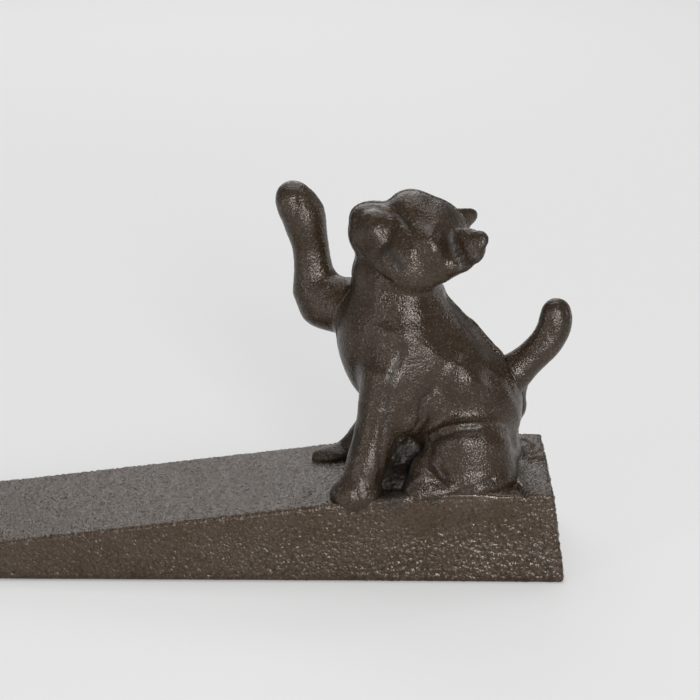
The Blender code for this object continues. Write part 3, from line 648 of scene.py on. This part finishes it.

# %% [markdown]
# Shade is painted into the creases: under the ear, in the mouth, along the joint and where the legs meet the
# body. Their paths are found in the same way. How near a point lies to a path gives both the rounded profile
# of a stroke and the depth of a crease, and the creases are kept with the mesh as a mask that the paint reads
# later and darkens as painted shade.

# %% Creases
FAR_AWAY = 1e6
CREASES = [  # width, pixels: where the paint is darkened as painted shade
    (1.6, [(450, 234), (453, 248), (460, 261)]),  # in front of the ear
    (0.7, [(463, 267), (474, 260), (482, 250), (487, 239)]),  # under the ear
    (0.5, [(396, 212), (401, 217), (408, 224)]),  # brow
    (1.3, [(387, 248), (393, 258), (400, 268)]),  # behind the lip
    (0.5, [(361, 253), (372, 266), (388, 280)]),  # mouth
    (0.5, [(430, 196), (441, 201), (450, 211), (457, 222)]),  # joint over the crown
    (0.5, [(448, 298), (452, 307), (459, 321), (468, 330), (475, 338)]),  # joint down the back
    (0.45, [(403, 348), (396, 366), (390, 384), (387, 405), (388, 428)]),  # behind the leg
    (0.4, FLANK_LAP),
    (0.5, [(440, 438), (460, 431), (480, 430)]),  # below the thigh's ridge
    (0.6, THIGH_FRONT),
    (0.6, [(505, 357), (510, 368), (516, 380), (520, 392)]),  # root of the tail
    (0.45, TAIL_EDGE),
    (1.6, [(356, 432), (353, 446)]),  # behind the far paw
    (0.4, [(398, 507), (420, 505), (447, 499), (470, 490), (492, 480)]),  # sole of the hind foot
]
CREASE_PATHS = [(width, surface_path(pixels)) for width, pixels in CREASES]


def distance_to_path(points, path):
    nearest = np.full(len(points), FAR_AWAY)
    if len(path) == 1:
        return np.linalg.norm(points - path[0], axis=1)
    for start, end in zip(path, path[1:]):
        along = end - start
        share = np.clip((points - start) @ along / (along @ along), 0, 1)
        nearest = np.minimum(nearest, np.linalg.norm(points - start - share[:, None] * along, axis=1))
    return nearest


def bell(distance, width):
    """A rounded profile: 1 at no distance, falling to nothing past about twice its width."""
    return np.exp(-((distance / width) ** 2))


def near_path(points, path, width):
    return bell(distance_to_path(points, path), width)


def crease_at(points):
    """How deep in a crease each point lies, from 0 to 1."""
    return np.max([near_path(points, path, width) for width, path in CREASE_PATHS], axis=0)


def paint_mask(mesh, label, values):
    """Keeps a value per point with the mesh, for its material to read."""
    made = mesh.attributes.new(label, "FLOAT", "POINT")
    made.data.foreach_set("value", np.clip(values, 0, 1).astype(np.float32))


print("creases:", len(CREASE_PATHS))

# %% [markdown]
# Two half moulds never meet perfectly. The far half stands a little proud of the near one, so the joint shows
# as a fine ledge down the back, over the crown and along the chest, and both edges are rounded by the paint.
# Cast iron is also never quite smooth: the surface rolls gently, and sand leaves a grain on it. Noise from
# the mathutils module gives both, the same on every run.

# %% Carve and texture the cat
LEDGE_HEIGHT, LEDGE_WIDTH = 0.25, 1.6
BACK_LEDGE_HEIGHT, BACK_LEDGE_WIDTH = 0.85, 3.0
SEAM_DIP, SEAM_WIDTH = 0.12, 0.3
SEAM_LOOPS = (0.15, 0.35, 0.6, 1.0)
ROLL_HEIGHT, ROLL_SIZE = 0.05, 3.5
GRAIN_HEIGHT, GRAIN_SIZE = 0.06, 0.9
FAR_LEDGE = [(470, 322), (480, 334), (490, 345), (497, 352)]
LEDGE_PATH = surface_path(FAR_LEDGE, cat_surface)
LEDGE_EVEN, LEDGE_PATCHES, LEDGE_PATCH_SIZE = 0.75, 0.5, 7.0
ROUGH_PIXELS, ROUGH_WIDTH = [(402, 460), (396, 484)], 5.5  # between the legs
# The last number sets how strongly painted shade darkens the rough iron between the legs.
ROUGH_HEIGHT, ROUGH_SIZE, ROUGH_SHADE = 0.4, 1.0, 1.5


def noise_at(points, size, offset=0.0):
    """Noise with lumps of a size; each offset is another part of the same noise."""
    shift = Vector((offset, offset * 0.7, offset * 1.3))
    return np.array([noise.noise(Vector(point) / size + shift) for point in points])


def seam_loops(obj, side):
    bm = bmesh.new()
    bm.from_mesh(obj.data)
    for distance in SEAM_LOOPS:
        bmesh.ops.bisect_plane(
            bm, geom=bm.verts[:] + bm.edges[:] + bm.faces[:], dist=0.02,
            plane_co=(0, side * distance, 0), plane_no=(0, 1, 0),
        )
    bm.to_mesh(obj.data)
    bm.free()


rough_path = surface_path(ROUGH_PIXELS)


def carve(obj, side):
    seam_loops(obj, side)
    points, normals = read_points(obj.data), read_points(obj.data, "normal")
    chosen = wanted(points, side)
    place, normal = points[chosen], normals[chosen]
    lift = np.zeros(len(place))
    for width, height, path in STROKES:
        lift += height * near_path(place, path, width)
    from_seam = np.abs(place[:, 1])
    lift -= SEAM_DIP * bell(from_seam, SEAM_WIDTH)
    if side > 0:
        uneven = LEDGE_EVEN + LEDGE_PATCHES * noise_at(place, LEDGE_PATCH_SIZE, 3.0)
        lift += LEDGE_HEIGHT * uneven * bell(from_seam, LEDGE_WIDTH)
        lift += BACK_LEDGE_HEIGHT * near_path(place, LEDGE_PATH, BACK_LEDGE_WIDTH)
    lift += ROLL_HEIGHT * noise_at(place, ROLL_SIZE) + GRAIN_HEIGHT * noise_at(place, GRAIN_SIZE, 5.0)
    rough = near_path(place, rough_path, ROUGH_WIDTH)
    lift += ROUGH_HEIGHT * rough * noise_at(place, ROUGH_SIZE, 8.0)
    points[chosen] = place + normal * lift[:, None]
    write_points(obj.data, points)
    # Painted shade: the crease mask darkens the creases and the rough iron between the legs.
    crease = np.zeros(len(points))
    crease[chosen] = np.maximum(crease_at(place), ROUGH_SHADE * rough)
    paint_mask(obj.data, "crease", crease)
    print(obj.name, "carved: lift from %.2f to %.2f mm" % (lift.min(), lift.max()))


carve(near_half, -1)
carve(far_half, 1)

# %% [markdown]
# Now each skin becomes a half of the casting. A block takes away everything beyond the parting plane, the
# wedge's own shape takes away the seat, three sand cores leave the hollows, and drills follow for the screws
# and pins. The near half also gets a groove for the tail, which belongs to the far half. All the cutters come
# from the frame's boxes and a clearance, so that the halves still fit the pieces they are made for.

# %% Cut the halves
CLEARANCE, HALF_GAP, SEAT_GAP, TAIL_ZONE, TAIL_GROOVE = 0.3, 0.02, 0.03, 0.26, 0.3
TIE_SHANK, TIE_HEAD, TIE_HEAD_DEPTH, TIE_BOSS = 2.0, 3.8, 2.2, 4.6
TIE_SCREWS, DOWELS = ("chest_tie_screw", "haunch_tie_screw"), ("neck_dowel", "rump_dowel")
DRILL_PAST, BOSS_REACH, HEAD_DRILL_END, OVERLAP = 1.0, 30, 40, 0.01
BLOCK_X, BLOCK_Z, BLOCK_REACH = (-80, 60), (-40, 100), 60.0  # larger than the cat on every side
SHANKS = {"near_base_screw": 2.0, "far_base_screw": 2.0, "foot_base_screw": 1.5}
POCKETS = [
    Egg((-16.2, 0, 38.5), (9.4, 10.0, 9.4)),  # in the chest
    Egg((-1.5, 0, 21.5), (9.4, 11.5, 8.8)),  # in the rump
    Egg((-10.8, 0, 62.4), (8.2, 8.8, 7.6)),  # in the head
]


def drawn_span(node):
    """A piece's box in drawn millimetres, and the middle of it along each axis."""
    low, high = (TO_DRAWN @ Vector(corner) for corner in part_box(node))
    return low, high, [(one + other) / 2 for one, other in zip(low, high)]


def cut(obj, cutter, operation="DIFFERENCE", keep=False):
    modifier = obj.modifiers.new("Cut", "BOOLEAN")
    modifier.operation = operation
    modifier.solver = "MANIFOLD"
    modifier.object = cutter
    bake_modifiers(obj)
    if not keep:
        bpy.data.objects.remove(cutter)


def block(low, high):
    bm = bmesh.new()
    low, high = Vector(low), Vector(high)
    matrix = Matrix.Translation((low + high) / 2) @ Matrix.Diagonal((*(high - low), 1.0))
    bmesh.ops.create_cube(bm, size=1.0, matrix=matrix)
    return new_object("block", bm)


def rod(start, end, radius, end_radius=None):
    end_radius = radius if end_radius is None else end_radius
    bm = bmesh.new()
    start, end = Vector(start), Vector(end)
    turn = (end - start).to_track_quat("Z", "Y").to_matrix().to_4x4()
    bmesh.ops.create_cone(
        bm, cap_ends=True, segments=48, radius1=radius, radius2=end_radius,
        depth=(end - start).length, matrix=Matrix.Translation((start + end) / 2) @ turn,
    )
    return new_object("rod", bm)


def merged_wedge():
    bm = bmesh.new()
    bm.from_mesh(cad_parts["wedge_casting"].data)
    bmesh.ops.remove_doubles(bm, verts=bm.verts, dist=1e-6)
    return bm


def wedge_hull(grow=0.0):
    """The convex outer shape of the CAD wedge in the frame's millimetres, moved outwards by grow."""
    source = merged_wedge()
    bm = bmesh.new()
    for vert in source.verts:
        bm.verts.new(vert.co / MM)
    source.free()
    found = bmesh.ops.convex_hull(bm, input=bm.verts[:])
    spare = found["geom_interior"] + found["geom_unused"]
    inside = {item for item in spare if isinstance(item, bmesh.types.BMVert)}
    bmesh.ops.delete(bm, geom=list(inside), context="VERTS")
    corners = np.array([vert.co for vert in bm.verts])
    low, high = corners.min(axis=0), corners.max(axis=0)
    centre, half = Vector((low + high) / 2), Vector((high - low) / 2)
    scale = Matrix.Diagonal([1 + grow / value for value in half]).to_4x4()
    bmesh.ops.transform(
        bm, verts=bm.verts, matrix=Matrix.Translation(centre) @ scale @ Matrix.Translation(-centre),
    )
    return bm


def seat_cutter():
    bm = wedge_hull(SEAT_GAP)
    bmesh.ops.transform(bm, verts=bm.verts, matrix=TO_DRAWN @ Matrix.Scale(MM, 4))
    return new_object("seat_cutter", bm)


def sand_cores():
    """What is hollow inside the cat: its pockets, less the bosses that carry the screws across them."""
    cores = []
    for pocket in POCKETS:
        bm = bmesh.new()
        pocket.rough(bm)
        core = new_object("core", bm)
        for name in TIE_SCREWS:
            x, _, z = TO_DRAWN @ middle_of(name)
            cut(core, rod((x, -BOSS_REACH, z), (x, BOSS_REACH, z), TIE_BOSS))
        cores.append(core)
    return cores


def drill(obj):
    for name in TIE_SCREWS:
        low, high, (x, _, z) = drawn_span(name)
        cut(obj, rod((x, low.y - DRILL_PAST, z), (x, high.y + DRILL_PAST, z), TIE_SHANK + CLEARANCE))
    for name in DOWELS:
        low, high, (x, _, z) = drawn_span(name)
        radius = (high.x - low.x) / 2 + CLEARANCE
        cut(obj, rod((x, low.y - CLEARANCE, z), (x, high.y + CLEARANCE, z), radius))
    for name, shank in SHANKS.items():
        low, high, (x, y, _) = drawn_span(name)
        cut(obj, rod((x, y, low.z), (x, y, high.z + DRILL_PAST), shank + CLEARANCE))


def countersink(obj):
    for name in TIE_SCREWS:
        _, high, (x, _, z) = drawn_span(name)
        top, wide = high.y + CLEARANCE, TIE_HEAD + CLEARANCE
        cut(obj, rod((x, top, z), (x, HEAD_DRILL_END, z), wide))
        deep = high.y - TIE_HEAD_DEPTH - CLEARANCE
        cut(obj, rod((x, deep, z), (x, top + OVERLAP, z), TIE_SHANK, wide))


def tail_space(grow):
    """The whole tail belongs to the far half: this is its shape, so much larger all round."""
    return grow_skin("tail_space", [TAIL], lambda points: TAIL.distance(points) - grow, 0)


def finish_half(obj, side, seat_block, cores):
    near_y, far_y = sorted((side * -BLOCK_REACH, side * HALF_GAP))
    beyond = block((BLOCK_X[0], near_y, BLOCK_Z[0]), (BLOCK_X[1], far_y, BLOCK_Z[1]))
    if side > 0:
        cut(beyond, tail_space(TAIL_ZONE))
    else:
        cut(obj, tail_space(TAIL_GROOVE))
    cut(obj, beyond)
    cut(obj, seat_block, keep=True)
    for core in cores:
        cut(obj, core, keep=True)
    drill(obj)


seat_block, cores = seat_cutter(), sand_cores()
finish_half(near_half, -1, seat_block, cores)
finish_half(far_half, 1, seat_block, cores)
countersink(far_half)
for spent in [seat_block] + cores:
    bpy.data.objects.remove(spent)
for obj in (near_half, far_half):
    print(obj.name, "cut:", len(obj.data.polygons), "faces")

# %% [markdown]
# The wedge's outside is rough: its sides are pebbled by coarse sand, and its ramp is finer. Near the haunch
# iron ran down over the edge, which is smooth and round there, and behind the rump it left lumps and pits.
# The numbers below are heights, widths and sizes in millimetres. Places are pixels picked on the photograph.

# %% Sizes of the wedge's relief
WEDGE_VOXEL = 0.5
PUSH_OUT, ON_HULL = 1.2, 0.05
SIDE_RELIEF, SIDE_SIZE, SIDE_CALM = 0.38, 0.80, 0.35
GRIT_LOW, GRIT_GAIN = -0.1, 1.4
FACING_GAIN, FACING_FROM = 2, 0.6  # how soon a face counts as turned up, down or to the heel
ROUGH_TOE, ROUGH_GROWS, ROUGH_PATCHES, PATCH_SIZE = 0.35, 0.75, 0.5, 16.0  # rougher at the heel, in patches
TOP_RELIEF, TOP_SIZE, TOP_STRETCH, TOP_LIFT = 0.34, 0.55, (1, 0.6, 1), 0.30
WAVE_HEIGHT, WAVE_SIZE = 0.06, 9.0
HEEL_SWELL, BOTTOM_SWELL, SMEAR_SWELL = 0.25, 0.3, 0.3
FOOT_SWELL, FOOT_HEIGHT = 1.0, 12
FLOOR_GAP = 0.1
SMEAR = [(405, 512), (425, 516), (450, 513), (475, 508), (500, 503)]  # smooth iron below the hind foot
SMEAR_WIDTH, SMOOTHED = 3.4, 0.9
FILLET, FILLET_WIDTH, FILLET_HEIGHT = [(440, 499), (470, 495), (502, 491)], 1.8, 0.6  # along the haunch
EDGE_ROUNDS, EDGE_WIDTH, EDGE_SHARE = 10, FILLET_WIDTH * 1.5, 0.3
LUMPS, LUMPS_WIDTH = [(522, 447), (533, 460)], 3.2  # behind the rump
LUMP_RELIEF, LUMP_SIZE, FINE_LUMPS = 1.7, 2.2, 0.4
PIT_DEPTH = 0.9
PITS = [  # width, pixels
    (0.8, [(521, 450), (523, 454), (527, 459)]),
    (0.6, [(515, 489), (526, 496)]),
    (0.5, [(524, 440), (534, 446)]),
]
# The last number sets how strongly painted shade darkens the hollow between the legs.
HOLLOW, HOLLOW_WIDTH, HOLLOW_SHADE = [(400, 484), (396, 490), (393, 499)], 2.8, 1.3  # between the legs
RAMP_STROKES = [  # width, height, pixels
    (2.0, 1.0, [(510, 468), (515, 480), (521, 491)]),  # spill of iron behind the rump
    (1.0, 0.25, [(296, 503), (308, 492), (322, 482), (332, 476)]),
    (0.8, -0.15, [(300, 497), (312, 486), (324, 477)]),
    (0.9, 0.2, [(316, 506), (328, 500), (338, 496)]),
]
print("wedge:", len(PITS), "pits and", len(RAMP_STROKES), "strokes")

# %% [markdown]
# The hull of the CAD wedge is remeshed, rounded along the edge beside the haunch and given the relief. A BVH
# tree of the hull answers where a ray from the camera meets it. The skin is then cut to the true underside: a
# copy of the CAD solid whose outer faces are pushed out of the way keeps only the pocket, bosses and holes.

# %% Make the wedge's skin


def hull_tree():
    hull = wedge_hull()
    tree = bvhtree.BVHTree.FromBMesh(hull)
    hull.free()
    return tree


WEDGE_TREE = hull_tree()


def pushed_copy():
    """The CAD wedge in millimetres with everything on its outside moved outwards."""
    bm = merged_wedge()
    for vert in bm.verts:
        place = vert.co / MM
        _, normal, _, gap = WEDGE_TREE.find_nearest(place)
        vert.co = place + normal * PUSH_OUT if gap < ON_HULL else place
    return new_object("pushed_wedge", bm)


def near_pixels(points, pixels, width):
    """How near each point lies to the path on the wedge behind some pixels, in the frame's millimetres."""
    rays = [camera_ray(pixel) for pixel in pixels]
    path = [np.array(WEDGE_TREE.ray_cast(Vector(place) + seat / MM, Vector(way))[0]) for place, way in rays]
    return near_path(points, path, width)


def facing(slant):
    """From 0 to 1 as a face turns towards a direction."""
    return np.clip(slant * FACING_GAIN - FACING_FROM, 0, 1)


def texture_wedge(obj):
    points, normals = read_points(obj.data), read_points(obj.data, "normal")
    upward, downward, nearward = facing(normals[:, 2]), facing(-normals[:, 2]), np.clip(-normals[:, 1], 0, 1)
    coarse = np.maximum(noise_at(points, SIDE_SIZE), GRIT_LOW) * GRIT_GAIN
    heelward = (points[:, 0] - points[:, 0].min()) / np.ptp(points[:, 0])
    rough = ROUGH_TOE + ROUGH_GROWS * heelward + ROUGH_PATCHES * noise_at(points, PATCH_SIZE, 2.0)
    smear = near_pixels(points, SMEAR, SMEAR_WIDTH)
    fillet = near_pixels(points, FILLET, FILLET_WIDTH)
    calm = 1 - SMOOTHED * np.maximum(smear, fillet)
    lift = SIDE_RELIEF * coarse * rough * calm * (1 - upward) * (1 - downward)
    lift += BOTTOM_SWELL * downward + SMEAR_SWELL * smear * nearward
    sand = TOP_RELIEF * calm * noise_at(points * TOP_STRETCH, TOP_SIZE, 9.0)
    lift += (sand + TOP_LIFT * heelward**4 + FILLET_HEIGHT * fillet) * upward
    lift += WAVE_HEIGHT * noise_at(points, WAVE_SIZE, 4.0)
    hollow = near_pixels(points, HOLLOW, HOLLOW_WIDTH)
    lift += ROUGH_HEIGHT * hollow * noise_at(points, ROUGH_SIZE, 8.0)
    # Painted shade: the hollow between the legs and the pits are darkened through the crease mask.
    crease = HOLLOW_SHADE * hollow
    for width, pixels in PITS:
        pit = near_pixels(points, pixels, width)
        lift -= PIT_DEPTH * pit
        crease = np.maximum(crease, pit)
    lump = np.abs(noise_at(points, LUMP_SIZE, 6.0)) + FINE_LUMPS * noise_at(points, LUMP_SIZE / 2, 7.0)
    lift += LUMP_RELIEF * lump * near_pixels(points, LUMPS, LUMPS_WIDTH)
    for width, height, pixels in RAMP_STROKES:
        lift += height * near_pixels(points, pixels, width)
    lift += HEEL_SWELL * facing(normals[:, 0])
    lift += FOOT_SWELL * heelward * np.clip(1 - points[:, 2] / FOOT_HEIGHT, 0, 1) * nearward
    points += normals * lift[:, None]
    points[:, 2] = np.maximum(points[:, 2], FLOOR_GAP)
    write_points(obj.data, points)
    paint_mask(obj.data, "crease", crease)
    paint_mask(obj.data, "coarse_sand", rough * calm * (1 - upward))
    paint_mask(obj.data, "any_sand", calm * (1 - SIDE_CALM * (1 - upward)))
    print("wedge relief from %.2f to %.2f mm" % (lift.min(), lift.max()))


wedge = new_object("wedge_skin", wedge_hull())
remesh(wedge, WEDGE_VOXEL)
smooth_mesh(wedge.data, near_pixels(read_points(wedge.data), FILLET, EDGE_WIDTH) > EDGE_SHARE, EDGE_ROUNDS)
texture_wedge(wedge)
cut(wedge, pushed_copy(), "INTERSECT")
print("wedge:", len(wedge.data.polygons), "faces")

# %% [markdown]
# Painted iron wears two effects, and more than one material uses grain, so each is a node group. Grain is
# the sand print: a height for the Bump node, with masks for its pits and tips. Paint is the uneven brown of a
# thin coat, with painted shade in the pits and the creases and painted glints on the tips: a colour and a
# roughness. The shader itself stays in the material, where the exporter can read it.

# %% Shared effects
FLOAT, COLOUR, VECTOR = "NodeSocketFloat", "NodeSocketColor", "NodeSocketVector"
GRANULE_SCALE, GRANULE_SHARE = 0.6, 0.45
PIT_SPAN, TIP_SPAN = (0.36, 0.50), (0.62, 0.74)  # heights between which a pit or a tip begins
CLOUDS_PER_METRE, CLOUD_SPAN = 90.0, (0.35, 0.7)
PATCHES_PER_METRE, PATCH_SPAN, GLOSS_CHANGE = 400.0, (0.3, 0.7), (-0.06, 0.08)
# Painted shade for the pits and creases, and a paler painted glint for the tips of the grain.
PAINTED_SHADE, PAINTED_GLINT = (0.012, 0.008, 0.005, 1.0), (0.16, 0.135, 0.115, 1.0)
PAINTED_LIGHT_MARKS = [("Pit", 0.6, PAINTED_SHADE), ("Tip", 0.8, PAINTED_GLINT), ("Crease", 0.85, PAINTED_SHADE)]  # mask, share, colour
CREASE_DULL = 0.3


def noise_node(tree, vector, scale, detail=2.0, roughness=0.5):
    inputs = {"Vector": vector, "Scale": scale, "Detail": detail, "Roughness": roughness}
    return add_node(tree, "TexNoise", inputs).outputs["Fac"]


def blend_node(tree, factor, one, other):
    inputs = {"Factor": factor, "A": one, "B": other}
    return add_node(tree, "Mix", inputs, data_type="RGBA").outputs["Result"]


def new_group(name, inputs, outputs):
    """A node group, the sockets that it reads and the sockets that it fills."""
    group = bpy.data.node_groups.new(name, "ShaderNodeTree")
    for label, kind, value in inputs:
        group.interface.new_socket(label, in_out="INPUT", socket_type=kind).default_value = value
    for label, kind in outputs:
        group.interface.new_socket(label, in_out="OUTPUT", socket_type=kind)
    return group, group.nodes.new("NodeGroupInput").outputs, group.nodes.new("NodeGroupOutput").inputs


def make_grain_group():
    """Sand grain: granules where the sand was coarse, wormy ridges where it was fine."""
    group, given, result = new_group(
        "sand grain",
        [("Place", VECTOR, (0, 0, 0)), ("Per metre", FLOAT, 1500.0), ("Granules", FLOAT, 0.0)],
        [("Height", FLOAT), ("Pit", FLOAT), ("Tip", FLOAT)],
    )
    place, scale = given["Place"], given["Per metre"]
    worm = noise_node(group, place, scale)
    cell_scale = math_node(group, "MULTIPLY", scale, GRANULE_SCALE)
    cells = add_node(group, "TexVoronoi", {"Vector": place, "Scale": cell_scale})
    granule = math_node(group, "SUBTRACT", 1.0, cells.outputs["Distance"])
    share = math_node(group, "MULTIPLY", given["Granules"], GRANULE_SHARE)
    ridges = math_node(group, "MULTIPLY", worm, math_node(group, "SUBTRACT", 1.0, share))
    height = math_node(group, "ADD", ridges, math_node(group, "MULTIPLY", granule, share))
    group.links.new(height, result["Height"])
    group.links.new(range_node(group, height, *PIT_SPAN, 1.0, 0.0), result["Pit"])
    group.links.new(range_node(group, height, *TIP_SPAN), result["Tip"])
    return group


def make_paint_group():
    """Thin brown paint: clouded, with painted shade in pits and creases and painted glints on the tips of the
    grain.
    """
    group, given, result = new_group(
        "thin brown paint",
        [
            ("Place", VECTOR, (0, 0, 0)), ("Paint", COLOUR, (0.06, 0.048, 0.04, 1)),
            ("Bloom", COLOUR, (0.1, 0.09, 0.085, 1)), ("Gloss", FLOAT, 0.4),
            ("Pit", FLOAT, 0.0), ("Tip", FLOAT, 0.0), ("Crease", FLOAT, 0.0),
        ],
        [("Colour", COLOUR), ("Roughness", FLOAT)],
    )
    cloud = range_node(group, noise_node(group, given["Place"], CLOUDS_PER_METRE, 4.0, 0.6), *CLOUD_SPAN)
    shade = blend_node(group, cloud, given["Paint"], given["Bloom"])
    # Painted shade in the pits and creases, painted glints on the tips of the grain.
    for label, share, colour in PAINTED_LIGHT_MARKS:
        shade = blend_node(group, math_node(group, "MULTIPLY", given[label], share), shade, colour)
    group.links.new(shade, result["Colour"])
    patch = noise_node(group, given["Place"], PATCHES_PER_METRE)
    dull = math_node(group, "MULTIPLY", given["Crease"], CREASE_DULL)
    rough = math_node(group, "ADD", range_node(group, patch, *PATCH_SPAN, *GLOSS_CHANGE), dull)
    group.links.new(math_node(group, "ADD", given["Gloss"], rough), result["Roughness"])
    return group


GRAIN, PAINT = make_grain_group(), make_paint_group()
print("groups:", GRAIN.name, "and", PAINT.name)

# %% [markdown]
# The cat and the wedge wear the same paint group over different sand, and the cat's colours are darker: this
# is painted shade that tones down the lamps' light on the cat. The cat's grain is fine, so small highlights
# break up on the shoulder and the haunch. The wedge's grain is coarser, and its own attributes say where: it
# turns to granules on the sides, and fades where the iron ran smooth below the hind foot.

# %% Painted iron
RAMP_STRETCH = (1.0, 0.5, 1.0)  # the wedge's grain is drawn out across it
PAINT_METALLIC = 0.25


def grain_under(tree, place, per_metre, depth):
    """A grain group, and the Bump node that its height drives."""
    grain = add_node(tree, "Group", {}, node_tree=GRAIN)
    tree.links.new(place, grain.inputs["Place"])
    grain.inputs["Per metre"].default_value = per_metre
    bump = add_node(tree, "Bump", {"Distance": depth, "Height": grain.outputs["Height"]})
    tree.links.new(bump.outputs["Normal"], tree.nodes["Principled BSDF"].inputs["Normal"])
    return grain, bump


def painted_iron(name, paint, bloom, gloss, per_metre, depth, sanded=False):
    made, tree, shader = new_material(name, {"Metallic": PAINT_METALLIC})
    place = object_place(tree)
    if sanded:
        stretch = add_node(tree, "VectorMath", {0: place, 1: RAMP_STRETCH}, operation="MULTIPLY")
        place = stretch.outputs["Vector"]
    grain, bump = grain_under(tree, place, per_metre, depth)
    inputs = {"Place": place, "Paint": paint, "Bloom": bloom, "Gloss": gloss}
    inputs.update((label, grain.outputs[label]) for label in ("Pit", "Tip"))
    skin = add_node(tree, "Group", inputs, node_tree=PAINT)
    # The crease mask drives the painted shade in the creases.
    masks = {"crease": skin.inputs["Crease"]}
    if sanded:
        masks.update(coarse_sand=grain.inputs["Granules"], any_sand=bump.inputs["Strength"])
    for label, socket in masks.items():
        tree.links.new(add_node(tree, "Attribute", {}, attribute_name=label).outputs["Fac"], socket)
    tree.links.new(skin.outputs["Colour"], shader.inputs["Base Color"])
    tree.links.new(skin.outputs["Roughness"], shader.inputs["Roughness"])
    return made


# The cat's colours are darker than the wedge's: painted shade on the cat.
cat_iron = painted_iron(
    "painted iron, fine", (0.035, 0.0205, 0.0105, 1), (0.047, 0.0315, 0.0195, 1), 0.21, 1900.0, 0.00020)
wedge_iron = painted_iron(
    "painted iron, coarse", (0.055, 0.033, 0.018, 1), (0.068, 0.047, 0.032, 1), 0.22, 1700.0, 0.00050, True)
print("materials:", cat_iron.name, "and", wedge_iron.name)

# %% [markdown]
# Each skin is put at its place in the frame's metres, so that its object sits at the origin, and the CAD
# solid that it stands for is hidden. Smooth shading with sharp edges only past a wide angle keeps the grain
# soft and the cut faces crisp.

# %% Dress the castings
SHARP_ANGLE = math.radians(52)


def dress(obj, name, matrix, material, node):
    obj.data.transform(matrix)
    obj.name = obj.data.name = name
    obj.data.materials.clear()
    obj.data.materials.append(material)
    obj.data.shade_smooth()
    obj.data.set_sharp_from_angle(angle=SHARP_ANGLE)
    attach(obj, "root")
    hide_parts(node)
    triangles = sum(len(face.vertices) - 2 for face in obj.data.polygons)
    print(name, triangles, "triangles")


dress(near_half, "cat_near_casting", TO_WORLD, cat_iron, "cat_near_half")
dress(far_half, "cat_far_casting", TO_WORLD, cat_iron, "cat_far_half")
dress(wedge, "wedge_casting_skin", Matrix.Scale(MM, 4), wedge_iron, "wedge_casting")

# %% [markdown]
# Screws, washers and pins are zinc-plated steel: bright, slightly blue, with fine turning marks. The pads are
# matt black rubber. These pieces keep their CAD shapes and only take a finish.

# %% Steel and rubber
TARNISH_PER_METRE, TARNISH = 700.0, 0.7


def plain_material(name, colour, roughness, metallic, grain_per_metre, depth):
    made, tree, shader = new_material(name, {"Metallic": metallic})
    place = object_place(tree)
    patch = noise_node(tree, place, TARNISH_PER_METRE, 3.0)
    dull = tuple(value * TARNISH for value in colour[:3]) + (1.0,)
    tree.links.new(blend_node(tree, patch, colour, dull), shader.inputs["Base Color"])
    rough = range_node(tree, patch, *PATCH_SPAN, *(roughness + change for change in GLOSS_CHANGE))
    tree.links.new(rough, shader.inputs["Roughness"])
    grain_under(tree, place, grain_per_metre, depth)
    return made


zinc = plain_material("zinc-plated steel", (0.55, 0.55, 0.53, 1), 0.35, 1.0, 3000.0, 0.00002)
rubber = plain_material("pad rubber", (0.02, 0.02, 0.02, 1), 0.85, 0.0, 2500.0, 0.00005)
for name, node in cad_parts.items():
    if name.endswith(("screw", "washer", "dowel")) or "pad" in name:
        node.data.materials.clear()
        node.data.materials.append(rubber if "pad" in name else zinc)
print("steel and rubber: done")

# %% [markdown]
# The last cell sets the scene's view transform to Standard and hands over to the frame.

# %% Finish
bpy.context.scene.view_settings.view_transform = "Standard"
